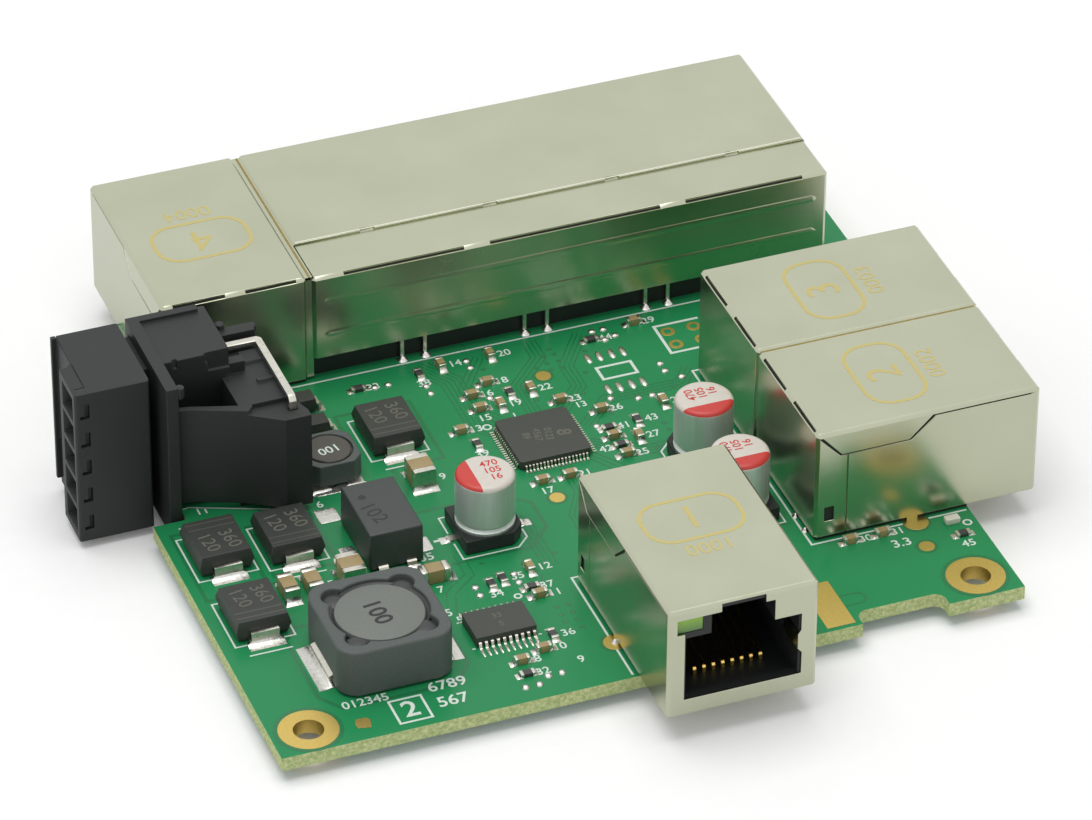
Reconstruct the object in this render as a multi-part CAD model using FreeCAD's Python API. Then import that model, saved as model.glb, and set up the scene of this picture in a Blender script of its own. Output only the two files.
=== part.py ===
import FreeCAD, Part
import math
import os

# Eight-port network switch board: a populated circuit board with eight shielded
# modular jacks round three of its edges and a five-pole plug-in supply terminal on
# the fourth.  Everything is drawn in the board's own axes: x runs right along the
# front edge, y to the back, and z up from the board's top face.  place_all() then
# moves the finished pieces so that the origin is under the middle of the part.

Vector = FreeCAD.Vector

# ---------------------------------------------------------------- circuit board
BOARD_THICKNESS = 1.6
BOARD_WIDTH = 80.4            # along the front edge
BOARD_DEPTH = 77.0
BACK_WING = 7.6               # extra width behind the right-hand jacks
BACK_WING_START = 47.6
BACK_LEFT_INSET = 6.2         # the left edge steps in behind the supply terminal
NOTCH_LEFT = 62.4             # shallow notch in the front edge
NOTCH_WIDTH = 9.6
NOTCH_DEPTH = 2.1
NOTCH_CORNER_R = 1.2
MOUNT_HOLE_D = 3.2
MOUNT_HOLE_INSET_X = 4.0
MOUNT_HOLE_Y = 3.45
BOARD_CLEARANCE = 0.3         # round anything that stands in a board cut-out

# ------------------------------------------------------------------------ jacks
JACK_WIDTH = 16.1
JACK_DEPTH = 25.0
JACK_HEIGHT = 13.4
SHEET = 0.25                  # shield sheet metal
SHIELD_LIFT = 0.45            # bottom edge of the shield above the board
FOLD = 0.35                   # the folded edges are drawn as flats this wide each way
CUT_GAP = 0.14                # width of the slits between folded flaps
PORT_PITCH = 14.0
GANG_PORTS = 4
GANG_SIDE = 8.5               # outermost port centre to the side of the gang
SEAT_FRONT = 17.15            # length of a jack on the board, at each of its edges
SEAT_RIGHT = 17.35
SEAT_BACK = 17.45
JACK_GAP = 0.05               # between the two jacks that stand side by side
FRONT_JACK_X = 45.85
RIGHT_JACK_Y = 22.575         # centre of the nearer of the two right-hand jacks
JACK_ROW_GAP = 0.65           # between the single jack at the back and the gang
GANG_X = 53.7

FLAP_DEPTH = 2.9              # side flap folded down from the top sheet
FLAP_FOOT = (10.4, 2.8)       # its lower edge, measured from the rear of the jack
FLAP_ROOT = (13.2, 0.4)       # its upper edge
FLAP_SEAM_START = 1.05        # seam between the flap and the face, from the face
FLAP_ROOT_DROP = 0.45         # clear of the fold, below the jack's top
WRAP = 3.44                   # how far the rear sheet wraps round the sides
WRAP_DROP = 3.1               # its upper end below the jack's top
CATCH_WINDOW = (1.1, 1.8)     # width and height of the catch window in each side
CATCH_FROM_REAR = 1.6
CATCH_Z = 2.3
LEG_FROM_REAR = 11.05
LEG_WIDTH = 1.2
LEG_TIP = 2.5                 # below the board's top face
LEG_SLOT = (0.6, 1.5)         # board slot for a leg: width, length
TOP_SLOTS = ((0.07, 0.42), (0.56, 0.92))   # perforated fold, shares of the width
TOP_SLOT_SIZE = 0.35

PORT_HALF = 6.25              # metal window, from the port's centre line
PORT_FLOOR = 2.25
PORT_EDGE = 0.1               # the window's right side is that much wider
PORT_DROP = 3.65              # top of the window below the jack's top
PORT_TOP = JACK_HEIGHT - PORT_DROP
LATCH_HALF = 2.35
LATCH_STEP_HALF = 3.35
LATCH_STEP_DROP = 1.15
LATCH_STEP_Z = JACK_HEIGHT - LATCH_STEP_DROP
LAMP_LEFT = 7.1
LAMP_DROP = 2.95
LAMP_BOTTOM = JACK_HEIGHT - LAMP_DROP
SPRING_Z = (5.4, 7.2)         # side contact spring of the shield
SPRING_LENGTH = 4.2
SPRING_REACH = 0.35           # how far it stands in from the metal window
SPRING_BULGE = 0.2            # its middle stands in by that much more
SPRING_T = 0.3
SPRING_POCKET = (0.6, 0.4, 0.2)   # room for it in the housing, past its x, y and z

CAVITY_HALF = 6.05            # plastic cavity for the plug
CAVITY_FLOOR = 1.9
CAVITY_DEPTH = 13.5
LIP_DEPTH = 0.9
LATCH_ROOF = 0.75             # jack's top to the roof of the latch groove
HOUSING_GAP = 0.02            # housing to shield
PEG_D = 3.05
PEG_HOLE_D = 3.25
PEG_FROM_REAR = 14.0
PEG_EDGE = 2.25
PEG_TIP = 3.0                 # the pegs are the lowest points of the part

CONTACTS = 8
CONTACT_PITCH = 1.016
CONTACT_WIDTH = 0.45
CONTACT_STRIP = 0.3
CONTACT_BEND_Y = 3.8
CONTACT_BEND_Z = 2.65
CONTACT_FOOT = 0.5
CONTACT_END_Z = 5.0

LAMP_WIDTH = 2.8
LAMP_DEPTH = 7.0
LAMP_RECESS = 0.1
LAMP_POCKET = 0.05            # round the light guide

COVER_LENGTH = 6.6            # rear cover of the gang jack, along the top
COVER_TUCK = 1.5              # how far it runs on under the front shell
COVER_BOTTOM = 2.8
COVER_SIDE = 2.6
RIB_LEVELS = (5.8, 10.0)
RIB_HEIGHT = 0.18
RIB_WIDTH = 0.9
RIB_END = (1.0, 1.5)          # its pointed ends, from the cover's sides
COVER_SLOTS = ((0.05, 0.28), (0.33, 0.66), (0.71, 0.94))
CATCH_SLOT = (1.6, 0.5, 1.0)  # cut for the shell's catch: width, ahead, behind the seam
BASE_RECESS = 0.9             # plastic base set back under the rear cover
REAR_PIN_OFFSETS = (1.65, 4.25)
REAR_PIN = 0.4

# -------------------------------------------------------- plug-in supply terminal
# Drawn in its own axes: x = 0 on the flange face the plug meets, y = 0 on the back
# of the socket and negative to the front, z up from the board.
TERMINAL_AT = (2.0, 54.9)
POLES = 5
POLE_PITCH = 3.5
POLE_BOTTOM_Z = 0.25
END_MARGIN = 2.3              # outer poles to the ends of the connector
SINK = 0.1                    # joined mouldings run that far into each other
FLANGE_T = 1.3
FLANGE_WIDTH = 13.8
SOCKET_LENGTH = 8.6
SOCKET_WIDTH = 8.5
SOCKET_WALL = 0.95
SOCKET_FLOOR = 1.2            # wall the pins pass through
SOCKET_SETBACK = (2.4, 0.4)   # right part of its front face: length, depth
EAR_X = (2.4, 5.9)            # pairs of snap notches in its front top edge
EAR_SIZE = (0.5, 0.35, 1.4)
RIM = 0.4                     # raised back edge of the top
RIM_WIDTH = 0.9
CARRIER_DROP = 3.85           # top of the connector to the top of the pin carrier
CARRIER_LENGTH = 5.2          # beyond the socket
CARRIER_Y = (-13.9, -2.9)
CARRIER_WALL = 0.7
CARRIER_ROOF = 1.2
HOLLOW_START = 0.3            # the carrier's hollow, past the socket's end
LEDGE_DROP = 0.5              # slanting front, below the top of the carrier
LEDGE_REACH = 3.2             # and how far it stands out in front
LEDGE_CORNER = 3.1            # where its slant begins, past the socket's end
LEDGE_FLARE = (0.7, 1.1)      # its right end beyond the carrier, and how deep
SCREEN_T = 0.7                # thin slanting wall from flange to carrier
SCREEN_FOOT = 0.9             # it ends above the board
SCREEN_ROOT_Y = -12.3
SCREEN_KNEE = (1.7, 0.4)      # first straight stretch, and how far it leans out
SCREEN_END_Y = -14.9
FLOOR_T = 0.8
SHELF_Y = (-2.5, -1.6)
SHELF_RISE = 1.3              # shelf and step block, above the carrier
SHELF_T = 0.6
SHELF_LENGTH = 4.9
SHELF_WALL_BACK = 0.5         # the wall under it stands that far forward
SHELF_NUB = 1.2
STEP_BLOCK = (1.8, 1.2)
STEP_BLOCK_Y = -8.0
PAD_Y = (-6.9, -4.9)
PAD_START = 2.0
STOP_Y = (-10.5, -10.0)
STOP_START = 2.3
PAD_T = 0.3
NUB_D = 1.0
NUB_HEIGHT = 1.2
PIN_WIDTH = 0.8
PIN_T = 0.5
PIN_RISE = 0.75               # middle of the top pin above the carrier
PIN_ROW_Y = -4.2
PIN_BOTTOM_Z = 0.35
PIN_LANE = 4.45               # top pin's lane, past the socket's end
PIN_LANE_PITCH = 0.75
PIN_DROP_Y = -15.3
PIN_DROP_FIRST = 3.0
PIN_DROP_PITCH = 2.2
PIN_SLOT = (1.1, 0.8)         # board slot for a pin
PIN_TIP = 2.4
PIN_BLADE_START = 2.5
PIN_SLACK = 0.1               # round a pin where it passes through plastic
PLUG_GAP = 1.0                # plug body to header flange
PLUG_LENGTH = 8.1
PLUG_Y = (-11.4, -0.4)
PLUG_CORNER_R = 0.3
PLUG_STEP = (1.4, 5.2)        # rear of the wire face is stepped back
PLUG_STEP_CHAMFER = 0.6
PLUG_GUARD_T = 0.5
PLUG_GUARD_SET = 0.3
NOSE_LENGTH = 5.5
NOSE_CLEARANCE = 0.15
NOSE_BORE_START = 2.9
FUNNEL = (3.5, 2.9)           # wire entry mouth, width and height
FUNNEL_MARGIN = 0.75
THROAT = (2.1, 1.9)
FUNNEL_DEPTH = 2.2
THROAT_DEPTH = 3.6
TEST_SLOT = (0.5, 1.8, 0.6)   # test slot by each pole: width, height, depth
TEST_SLOT_INSET = 1.1
TEST_FOOT = (0.5, 0.4)
SEAM = (0.1, 0.15)            # parting groove in the top: width, depth
CLAMP_LENGTH = 2.2
CLAMP_WALL = 0.2
CLAMP_CLEARANCE = 0.05

# ------------------------------------------------------------- larger components
PART_LIFT = 0.2               # bodies stand that far above the board
CAN_D = 6.3
CAN_HEIGHT = 7.7
CAN_GROOVE_Z = 2.3
CAN_GROOVE_R = 0.3
CAN_TOP_EDGE = 0.4            # drawn as a flat this wide each way
BASE_SIZE = 6.6
BASE_HEIGHT = 1.7
BASE_SEAT = 0.9
BASE_CHAMFER = 1.3
CAN_LEAD = (0.9, 0.2, 0.9)    # width, thickness, reach beyond the base
CAN_LEAD_LENGTH = 2.6
RIGHT_JACKS_REAR = BOARD_WIDTH - SEAT_RIGHT
CAN_TO_JACK = 5.15            # centre of the nearer cans to the jacks' rear
CANS = {                      # centre x, centre y, turn in degrees
    "left": (31.9, 28.1, 0),
    "back": (RIGHT_JACKS_REAR - CAN_TO_JACK, 32.4, 90),
    "front": (RIGHT_JACKS_REAR - CAN_TO_JACK, 22.5, 90),
}

COIL_SIZE = 12.3
COIL_HEIGHT = 5.5
COIL_CORNER_R = 2.2
COIL_FLOOR = 1.0
COIL_BORE_D = 10.2
COIL_DRUM_D = 9.3
COIL_DRUM_DROP = 0.3
COIL_DRUM_EDGE = 0.25
COIL_LOBE_R = 1.3
COIL_LOBE_DEPTH = 0.8
COIL_AT = (14.8, 12.5)
COIL_PAD = (5.7, 1.2)
COIL_PAD_HEIGHT = 1.3
COIL_CLIP_UNDER = 2.0
COIL_CLIP_LIP = (0.3, 0.9)    # its solder face: set back, height

SMALL_COIL_SIZE = 6.0
SMALL_COIL_HEIGHT = 2.6
SMALL_COIL_CHAMFER = 1.1
SMALL_COIL_DISC_D = 4.8
SMALL_COIL_DISH = (0.2, 0.5)  # round the disc, and its depth
SMALL_COIL_AT = (20.3, 43.9)
SMALL_COIL_PAD = (1.7, 1.6)
SMALL_COIL_PAD_OUT = 0.45
SMALL_COIL_PAD_SPREAD = 1.9

CHOKE_SIZE = (5.9, 9.2, 4.5)
CHOKE_CORNER = 0.9
CHOKE_AT = (21.3, 30.1)
CHOKE_LEAD_W = 1.4
CHOKE_LEAD_OUT = 0.56
CHOKE_LEAD_UNDER = 1.2
CHOKE_LEAD_FOOT = 0.3
CHOKE_LEAD_LEAN = 0.1
CHOKE_LEAD_SPREAD = 1.55
CHOKE_NOTCH = (1.5, 0.8, 1.6) # over each lead

DIODE_SIZE = (5.9, 6.9, 2.3)
DIODE_PART_LINE = 1.15
DIODE_DRAFT = 0.3
DIODE_LEAD_W = 3.0
DIODE_LEAD_T = 0.2
DIODE_LEAD_OUT = 0.5
DIODE_LEAD_UNDER = 1.0
DIODES = {                    # centres
    "front_left": (4.65, 22.3),
    "middle_left": (4.65, 33.9),
    "middle_right": (12.1, 33.2),
    "rear": (28.2, 47.4),
}

RECTIFIER_SIZE = (3.6, 2.2, 1.6)
RECTIFIERS = ((20.8, 50.6), (20.8, 55.0))
RECTIFIER_PART_LINE = 0.9
RECTIFIER_DRAFT = 0.15
RECTIFIER_LEAD = (1.4, 0.15, 0.4, 0.7)   # width, thickness, out, under

QFP_SIZE = 8.0
QFP_HEIGHT = 1.0
QFP_AT = (43.05, 40.6)
QFP_PITCH = 0.4
QFP_LEADS_PER_SIDE = 18
QFP_LEAD_W = 0.2
SSOP_SIZE = (6.5, 4.4, 1.1)
SSOP_AT = (27.5, 12.2)
SSOP_PITCH = 0.65
SSOP_LEADS_PER_SIDE = 10
SSOP_LEAD_W = 0.26
CHIP_LIFT = 0.1
LEAD_REACH = 1.0
LEAD_T = 0.15
LEAD_KNEE = 0.4               # bend of a gull wing, as a share of its reach
LEAD_LEVEL = 0.45             # height it leaves at, as a share of the body
QFP_CORNER = 0.3

# ------------------------------------------------- small parts: (x, y, turned 90)
RESISTOR_SIZE = (1.6, 0.8, 0.45)
SMALL_CERAMIC_SIZE = (1.6, 0.8, 0.8)
LARGE_CERAMIC_SIZE = (3.2, 1.6, 1.6)
TALL_CERAMIC_SIZE = (3.2, 2.5, 2.5)
END_SHARE = 0.22              # each metal end, as a share of the part's length
RESISTORS = (
    (29.3, 19.3, 1), (30.7, 19.8, 1), (33.0, 17.4, 0), (32.2, 9.2, 1),
    (27.5, 4.1, 0), (28.0, 56.3, 0), (35.0, 56.6, 1), (42.9, 50.1, 1),
    (54.5, 56.2, 0), (50.5, 40.5, 0), (50.6, 37.2, 0), (53.8, 40.8, 1),
    (36.4, 42.5, 1), (78.0, 10.3, 0),
)
SMALL_CERAMICS = (
    (33.9, 20.4, 1), (33.3, 15.9, 0), (30.5, 7.3, 0), (27.7, 6.2, 0),
    (37.7, 57.3, 1), (43.3, 57.3, 1), (41.2, 52.6, 0), (38.9, 50.9, 0),
    (38.9, 48.4, 0), (41.2, 48.3, 1), (45.2, 49.9, 1), (47.4, 46.9, 0),
    (60.0, 57.6, 0), (50.9, 43.8, 0), (50.4, 38.85, 0), (50.6, 35.4, 0),
    (52.9, 38.0, 1), (57.6, 42.9, 1), (40.5, 34.0, 0), (43.6, 34.0, 0),
    (35.6, 45.3, 0), (66.6, 13.2, 0), (70.2, 13.2, 0),
)
LARGE_CERAMICS = ((9.4, 25.2, 1), (12.0, 25.2, 1), (24.2, 22.3, 0))
TALL_CERAMICS = ((16.1, 25.1, 1), (28.6, 38.6, 1))
INDICATOR_SIZE = (1.6, 0.9, 0.7)
INDICATOR_AT = (77.8, 12.7)

TAIL_ROWS = ((7.7, -5.08), (5.2, -3.81))     # distance from the rear, first tail
TAILS_PER_ROW = 4
TAIL_PITCH = 2.54
LAMP_TAILS = (-6.3, -3.8, 3.8, 6.3)
LAMP_TAIL_FROM_REAR = 2.4
TAIL_SIZE = (1.1, 0.5)
TAIL_LENGTH = 1.1


# ----------------------------------------------------------------- drawing helpers
def box(x, y, z):
    """A block from three (low, high) spans."""
    low = Vector(min(x), min(y), min(z))
    return Part.makeBox(abs(x[1] - x[0]), abs(y[1] - y[0]), abs(z[1] - z[0]), low)


def block(centre, size, z0=0.0):
    """A block of size (x, y, z) standing at z0 on a centre point."""
    x, y = centre[0], centre[1]
    return box((x - size[0] / 2, x + size[0] / 2),
               (y - size[1] / 2, y + size[1] / 2), (z0, z0 + size[2]))


def face_of(points):
    return Part.Face(Part.makePolygon(points + [points[0]]))


def prism(outline, z0, z1):
    """An upright prism over an (x, y) outline."""
    base = face_of([Vector(x, y, z0) for x, y in outline])
    return base.extrude(Vector(0, 0, z1 - z0))


def slab_xz(outline, y0, y1):
    """An (x, z) outline carried from y0 to y1."""
    base = face_of([Vector(x, y0, z) for x, z in outline])
    return base.extrude(Vector(0, y1 - y0, 0))


def slab_yz(outline, x0, x1):
    """A (y, z) outline carried from x0 to x1."""
    base = face_of([Vector(x0, y, z) for y, z in outline])
    return base.extrude(Vector(x1 - x0, 0, 0))


def frustum(ring_a, ring_b):
    """A solid between two rings of corners, with flat sides."""
    count = len(ring_a)
    faces = [face_of(list(ring_a)), face_of(list(ring_b))]
    for i in range(count):
        j = (i + 1) % count
        faces.append(face_of([ring_a[i], ring_a[j], ring_b[j], ring_b[i]]))
    return Part.makeSolid(Part.makeShell(faces))


def square_ring(centre, half_x, half_y, level):
    """The corners of a level rectangle round a centre point."""
    x, y = centre[0], centre[1]
    return [Vector(x + i * half_x, y + j * half_y, level)
            for i, j in ((-1, -1), (1, -1), (1, 1), (-1, 1))]


def rod(x, y, diameter, z0, z1):
    return Part.makeCylinder(diameter / 2, z1 - z0, Vector(x, y, z0))


def joined(shapes):
    """Pieces that were moulded or folded as one."""
    first = shapes[0]
    return first.fuse(shapes[1:]).removeSplitter() if shapes[1:] else first


def without(shape, tools):
    return shape.cut(tools) if tools else shape


def upright_edges(shape, corners, reach=0.01):
    """The vertical edges that stand on the given (x, y) corners."""
    found = []
    for edge in shape.Edges:
        a, b = edge.Vertexes[0].Point, edge.Vertexes[-1].Point
        upright = abs(a.x - b.x) < reach and abs(a.y - b.y) < reach
        near = any(abs(a.x - x) < reach and abs(a.y - y) < reach for x, y in corners)
        if upright and near:
            found.append(edge)
    return found


def rounded_block(centre, size, radius, z0=0.0):
    """A block with its four upright edges rounded."""
    body = block(centre, size, z0)
    half_x, half_y = size[0] / 2, size[1] / 2
    corners = [(centre[0] + i * half_x, centre[1] + j * half_y)
               for i in (-1, 1) for j in (-1, 1)]
    return body.makeFillet(radius, upright_edges(body, corners))


def turned(shape, centre, degrees):
    copy = shape.copy()
    copy.rotate(Vector(centre[0], centre[1], 0), Vector(0, 0, 1), degrees)
    return copy


# ------------------------------------------------------------------ jack placement
# A jack is drawn facing the front: x across from its centre line, y from its port
# face (0) to its rear (JACK_DEPTH), z up from the board.
def gang_width():
    return (GANG_PORTS - 1) * PORT_PITCH + 2 * GANG_SIDE


def back_jacks_face():
    return BOARD_DEPTH - SEAT_BACK + JACK_DEPTH


JACKS = {
    "front_jack": {
        "ports": 1, "width": JACK_WIDTH, "turn": 0, "seat": SEAT_FRONT,
        "at": (FRONT_JACK_X, SEAT_FRONT - JACK_DEPTH),
    },
    "right_front_jack": {
        "ports": 1, "width": JACK_WIDTH, "turn": 90, "seat": SEAT_RIGHT,
        "at": (RIGHT_JACKS_REAR + JACK_DEPTH, RIGHT_JACK_Y),
    },
    "right_rear_jack": {
        "ports": 1, "width": JACK_WIDTH, "turn": 90, "seat": SEAT_RIGHT,
        "at": (RIGHT_JACKS_REAR + JACK_DEPTH, RIGHT_JACK_Y + JACK_WIDTH + JACK_GAP),
    },
    "back_jack": {
        "ports": 1, "width": JACK_WIDTH, "turn": 180, "seat": SEAT_BACK,
        "at": (GANG_X - (gang_width() + JACK_WIDTH) / 2 - JACK_ROW_GAP, back_jacks_face()),
    },
    "gang_jack": {
        "ports": GANG_PORTS, "width": gang_width(), "turn": 180, "seat": SEAT_BACK,
        "at": (GANG_X, back_jacks_face()),
    },
}


def port_centres(jack):
    return [(i - (jack["ports"] - 1) / 2) * PORT_PITCH for i in range(jack["ports"])]


def seat_jack(shape, jack):
    """Carry a piece drawn in jack axes to its place on the board."""
    placed = shape.copy()
    placed.rotate(Vector(0, 0, 0), Vector(0, 0, 1), jack["turn"])
    placed.translate(Vector(jack["at"][0], jack["at"][1], 0))
    return placed


def peg_centres(jack):
    """A board peg near each end of the housing."""
    x, y = jack["width"] / 2 - PEG_EDGE, JACK_DEPTH - PEG_FROM_REAR
    return [(-x, y), (x, y)]


def leg_centres(jack):
    x = jack["width"] / 2 - SHEET / 2
    y = JACK_DEPTH - LEG_FROM_REAR
    return [(-x, y), (x, y)]


def face_overhang(jack):
    """Length of the jack that stands out past the board's edge."""
    return JACK_DEPTH - jack["seat"]


# ---------------------------------------------------------------------- jack shield
def port_window():
    """Opening in the shield's face, one outline for plug, latch and lamp."""
    step = SHEET * 2
    right = PORT_HALF + PORT_EDGE
    return [
        (-PORT_HALF, PORT_FLOOR), (right, PORT_FLOOR),
        (right, SPRING_Z[0] - step), (PORT_HALF - SPRING_REACH, SPRING_Z[0]),
        (PORT_HALF - SPRING_REACH, SPRING_Z[1]), (PORT_HALF, SPRING_Z[1] + step),
        (PORT_HALF, PORT_TOP), (LATCH_STEP_HALF, PORT_TOP),
        (LATCH_STEP_HALF, LATCH_STEP_Z), (LATCH_HALF, LATCH_STEP_Z),
        (LATCH_HALF, JACK_HEIGHT - SHEET), (-LATCH_HALF, JACK_HEIGHT - SHEET),
        (-LATCH_HALF, LATCH_STEP_Z), (-LAMP_LEFT, LATCH_STEP_Z),
        (-LAMP_LEFT, LAMP_BOTTOM), (-PORT_HALF, LAMP_BOTTOM),
    ]


def shield_tube(width, rear_open):
    """The folded box: front, top and sides, and the rear where it has one."""
    depth = JACK_DEPTH
    outer = box((-width / 2, width / 2), (0, depth), (SHIELD_LIFT, JACK_HEIGHT))
    folds = [e for e in outer.Edges if e.Vertexes[0].Z + e.Vertexes[-1].Z > SHIELD_LIFT * 2]
    outer = outer.makeChamfer(FOLD, folds)
    rear = depth + 1 if rear_open else depth - SHEET
    inner = box((-width / 2 + SHEET, width / 2 - SHEET), (SHEET, rear),
                (SHIELD_LIFT - 1, JACK_HEIGHT - SHEET))
    return outer.cut(inner)


def side_flap_slits(width):
    """Slits that free the trapezoid flaps at the tops of both sides."""
    rear, top = JACK_DEPTH, JACK_HEIGHT
    foot_z = top - FLAP_DEPTH
    gap = CUT_GAP
    root_z = top - FLAP_ROOT_DROP
    outline = [(rear - FLAP_ROOT[0] - gap, root_z), (rear - FLAP_FOOT[0] - gap, foot_z - gap),
               (rear - FLAP_FOOT[1] + gap, foot_z - gap), (rear - FLAP_ROOT[1] + gap, root_z)]
    island = [(rear - FLAP_ROOT[0] + gap, root_z + gap), (rear - FLAP_FOOT[0], foot_z),
              (rear - FLAP_FOOT[1], foot_z), (rear - FLAP_ROOT[1] - gap, root_z + gap)]
    slits = []
    for side in (-1, 1):
        x0 = side * (width / 2 + 1)
        x1 = side * (width / 2 - SHEET)
        slits.append(slab_yz(outline, x0, x1).cut(slab_yz(island, x0, x1)))
        slits.append(box((x0, x1), (FLAP_SEAM_START, rear - FLAP_ROOT[0]), (root_z - gap, root_z)))
    return slits


def side_marks(width):
    """Wrap line of the rear sheet and the catch window on each side."""
    cuts = []
    line_y = JACK_DEPTH - WRAP
    window_y = JACK_DEPTH - CATCH_FROM_REAR
    window_half = CATCH_WINDOW[0] / 2
    for side in (-1, 1):
        skin = side * width / 2
        groove_floor = side * (width / 2 - SHEET / 2)
        wall_floor = side * (width / 2 - SHEET)
        cuts.append(box((skin, groove_floor), (line_y - CUT_GAP, line_y),
                        (SHIELD_LIFT, JACK_HEIGHT - WRAP_DROP)))
        cuts.append(box((skin, wall_floor), (window_y - window_half, window_y + window_half),
                        (CATCH_Z, CATCH_Z + CATCH_WINDOW[1])))
    return cuts


def fold_slots(width, shares, top):
    """Perforations along the rear top fold."""
    rear = JACK_DEPTH
    return [box((-width / 2 + a * width, -width / 2 + b * width),
                (rear - TOP_SLOT_SIZE, rear + 1), (top - TOP_SLOT_SIZE, top + 1))
            for a, b in shares]


def shield_legs(jack):
    legs = []
    for x, y in leg_centres(jack):
        legs.append(box((x - SHEET / 2, x + SHEET / 2), (y - LEG_WIDTH / 2, y + LEG_WIDTH / 2),
                        (-LEG_TIP, SHIELD_LIFT)))
    return legs


def side_spring(centre):
    """Contact spring that leans in from the window's right edge."""
    x = centre + PORT_HALF
    inner = x - SPRING_REACH
    middle = SPRING_LENGTH / 2
    lean = [(x, SHEET), (inner, SHEET), (inner - SPRING_BULGE, middle),
            (inner + SPRING_BULGE, SPRING_LENGTH), (inner + SPRING_BULGE + SPRING_T / 2, SPRING_LENGTH),
            (inner - SPRING_BULGE + SPRING_T, middle)]
    return prism(lean, SPRING_Z[0], SPRING_Z[1])


def shield_floor(jack):
    """Bottom sheet of the stretch that overhangs the board."""
    half = jack["width"] / 2 - SHEET
    end = face_overhang(jack) - BOARD_CLEARANCE
    return box((-half, half), (SHEET, end), (SHIELD_LIFT, SHIELD_LIFT + SHEET))


def make_shield(jack):
    width = jack["width"]
    gang = jack["ports"] > 1
    body = shield_tube(width, gang)
    cuts = side_flap_slits(width) if not gang else []
    cuts += side_marks(width) if not gang else gang_rear_cuts(width)
    cuts += [] if gang else fold_slots(width, TOP_SLOTS, JACK_HEIGHT)
    window = port_window()
    for centre in port_centres(jack):
        outline = [(centre + x, z) for x, z in window]
        cuts.append(slab_xz(outline, -1, SHEET))
    body = without(body, cuts)
    additions = shield_legs(jack) + [shield_floor(jack)]
    additions += [side_spring(centre) for centre in port_centres(jack)]
    return joined([body] + additions)


def gang_rear_cuts(width):
    """Clear the gang shell's rear for its separate cover."""
    seam = JACK_DEPTH - COVER_LENGTH
    side = JACK_DEPTH - COVER_SIDE
    top = box((-width, width), (seam, JACK_DEPTH + 1), (JACK_HEIGHT - FOLD - SHEET, JACK_HEIGHT + 1))
    rear = box((-width, width), (side, JACK_DEPTH + 1), (-1, JACK_HEIGHT))
    wide, ahead, behind = CATCH_SLOT
    catches = [box((centre - wide / 2, centre + wide / 2), (seam - ahead, seam + behind),
                   (JACK_HEIGHT - SHEET, JACK_HEIGHT + 1))
               for centre in port_centres({"ports": GANG_PORTS})]
    return [top, rear] + catches


def make_rear_cover(jack):
    """Gang jack only: top strip, rear wall with two pressed ribs, side returns."""
    width, rear = jack["width"], JACK_DEPTH
    top = JACK_HEIGHT - SHEET
    seam = rear - COVER_LENGTH
    side = rear - COVER_SIDE
    outer = box((-width / 2, width / 2), (side, rear), (COVER_BOTTOM, top))
    folds = [e for e in outer.Edges if e.Vertexes[0].Z + e.Vertexes[-1].Z > COVER_BOTTOM * 2
             and e.Vertexes[0].Y + e.Vertexes[-1].Y > side * 2]
    outer = outer.makeChamfer(FOLD, folds)
    half = width / 2 - SHEET
    inner = box((-half, half), (side - 1, rear - SHEET), (COVER_BOTTOM - 1, top - SHEET))
    cover = outer.cut(inner)
    strip = box((-half, half), (seam - COVER_TUCK, side), (top - SHEET, top))
    point, shoulder = half - RIB_END[0], half - RIB_END[1]
    ribs = []
    for level in RIB_LEVELS:
        low, high = level - RIB_WIDTH / 2, level + RIB_WIDTH / 2
        profile = [(-point, level), (-shoulder, low), (shoulder, low),
                   (point, level), (shoulder, high), (-shoulder, high)]
        ribs.append(slab_xz(profile, rear - SHEET, rear + RIB_HEIGHT))
    return joined([cover.cut(fold_slots(width, COVER_SLOTS, top)), strip] + ribs)


# --------------------------------------------------------------------- jack housing
def cavity_outline():
    roof = JACK_HEIGHT - LATCH_ROOF
    return [
        (-CAVITY_HALF, CAVITY_FLOOR), (CAVITY_HALF, CAVITY_FLOOR), (CAVITY_HALF, PORT_TOP),
        (LATCH_STEP_HALF, PORT_TOP), (LATCH_STEP_HALF, LATCH_STEP_Z), (LATCH_HALF, LATCH_STEP_Z),
        (LATCH_HALF, roof), (-LATCH_HALF, roof),
        (-LATCH_HALF, LATCH_STEP_Z), (-LATCH_STEP_HALF, LATCH_STEP_Z), (-LATCH_STEP_HALF, PORT_TOP),
        (-CAVITY_HALF, PORT_TOP),
    ]


def lamp_span():
    """x and z spans of the light guide, from the port's centre line."""
    left = LAMP_POCKET - LAMP_LEFT
    return (left, left + LAMP_WIDTH), (LAMP_BOTTOM, LATCH_STEP_Z - LAMP_POCKET)


def spring_pocket(centre):
    x = centre + PORT_HALF
    room_x, room_y, room_z = SPRING_POCKET
    return box((x - SPRING_REACH - room_x, x + PORT_EDGE), (SHEET, SPRING_LENGTH + room_y),
               (SPRING_Z[0] - room_z, SPRING_Z[1] + room_z))


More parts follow.
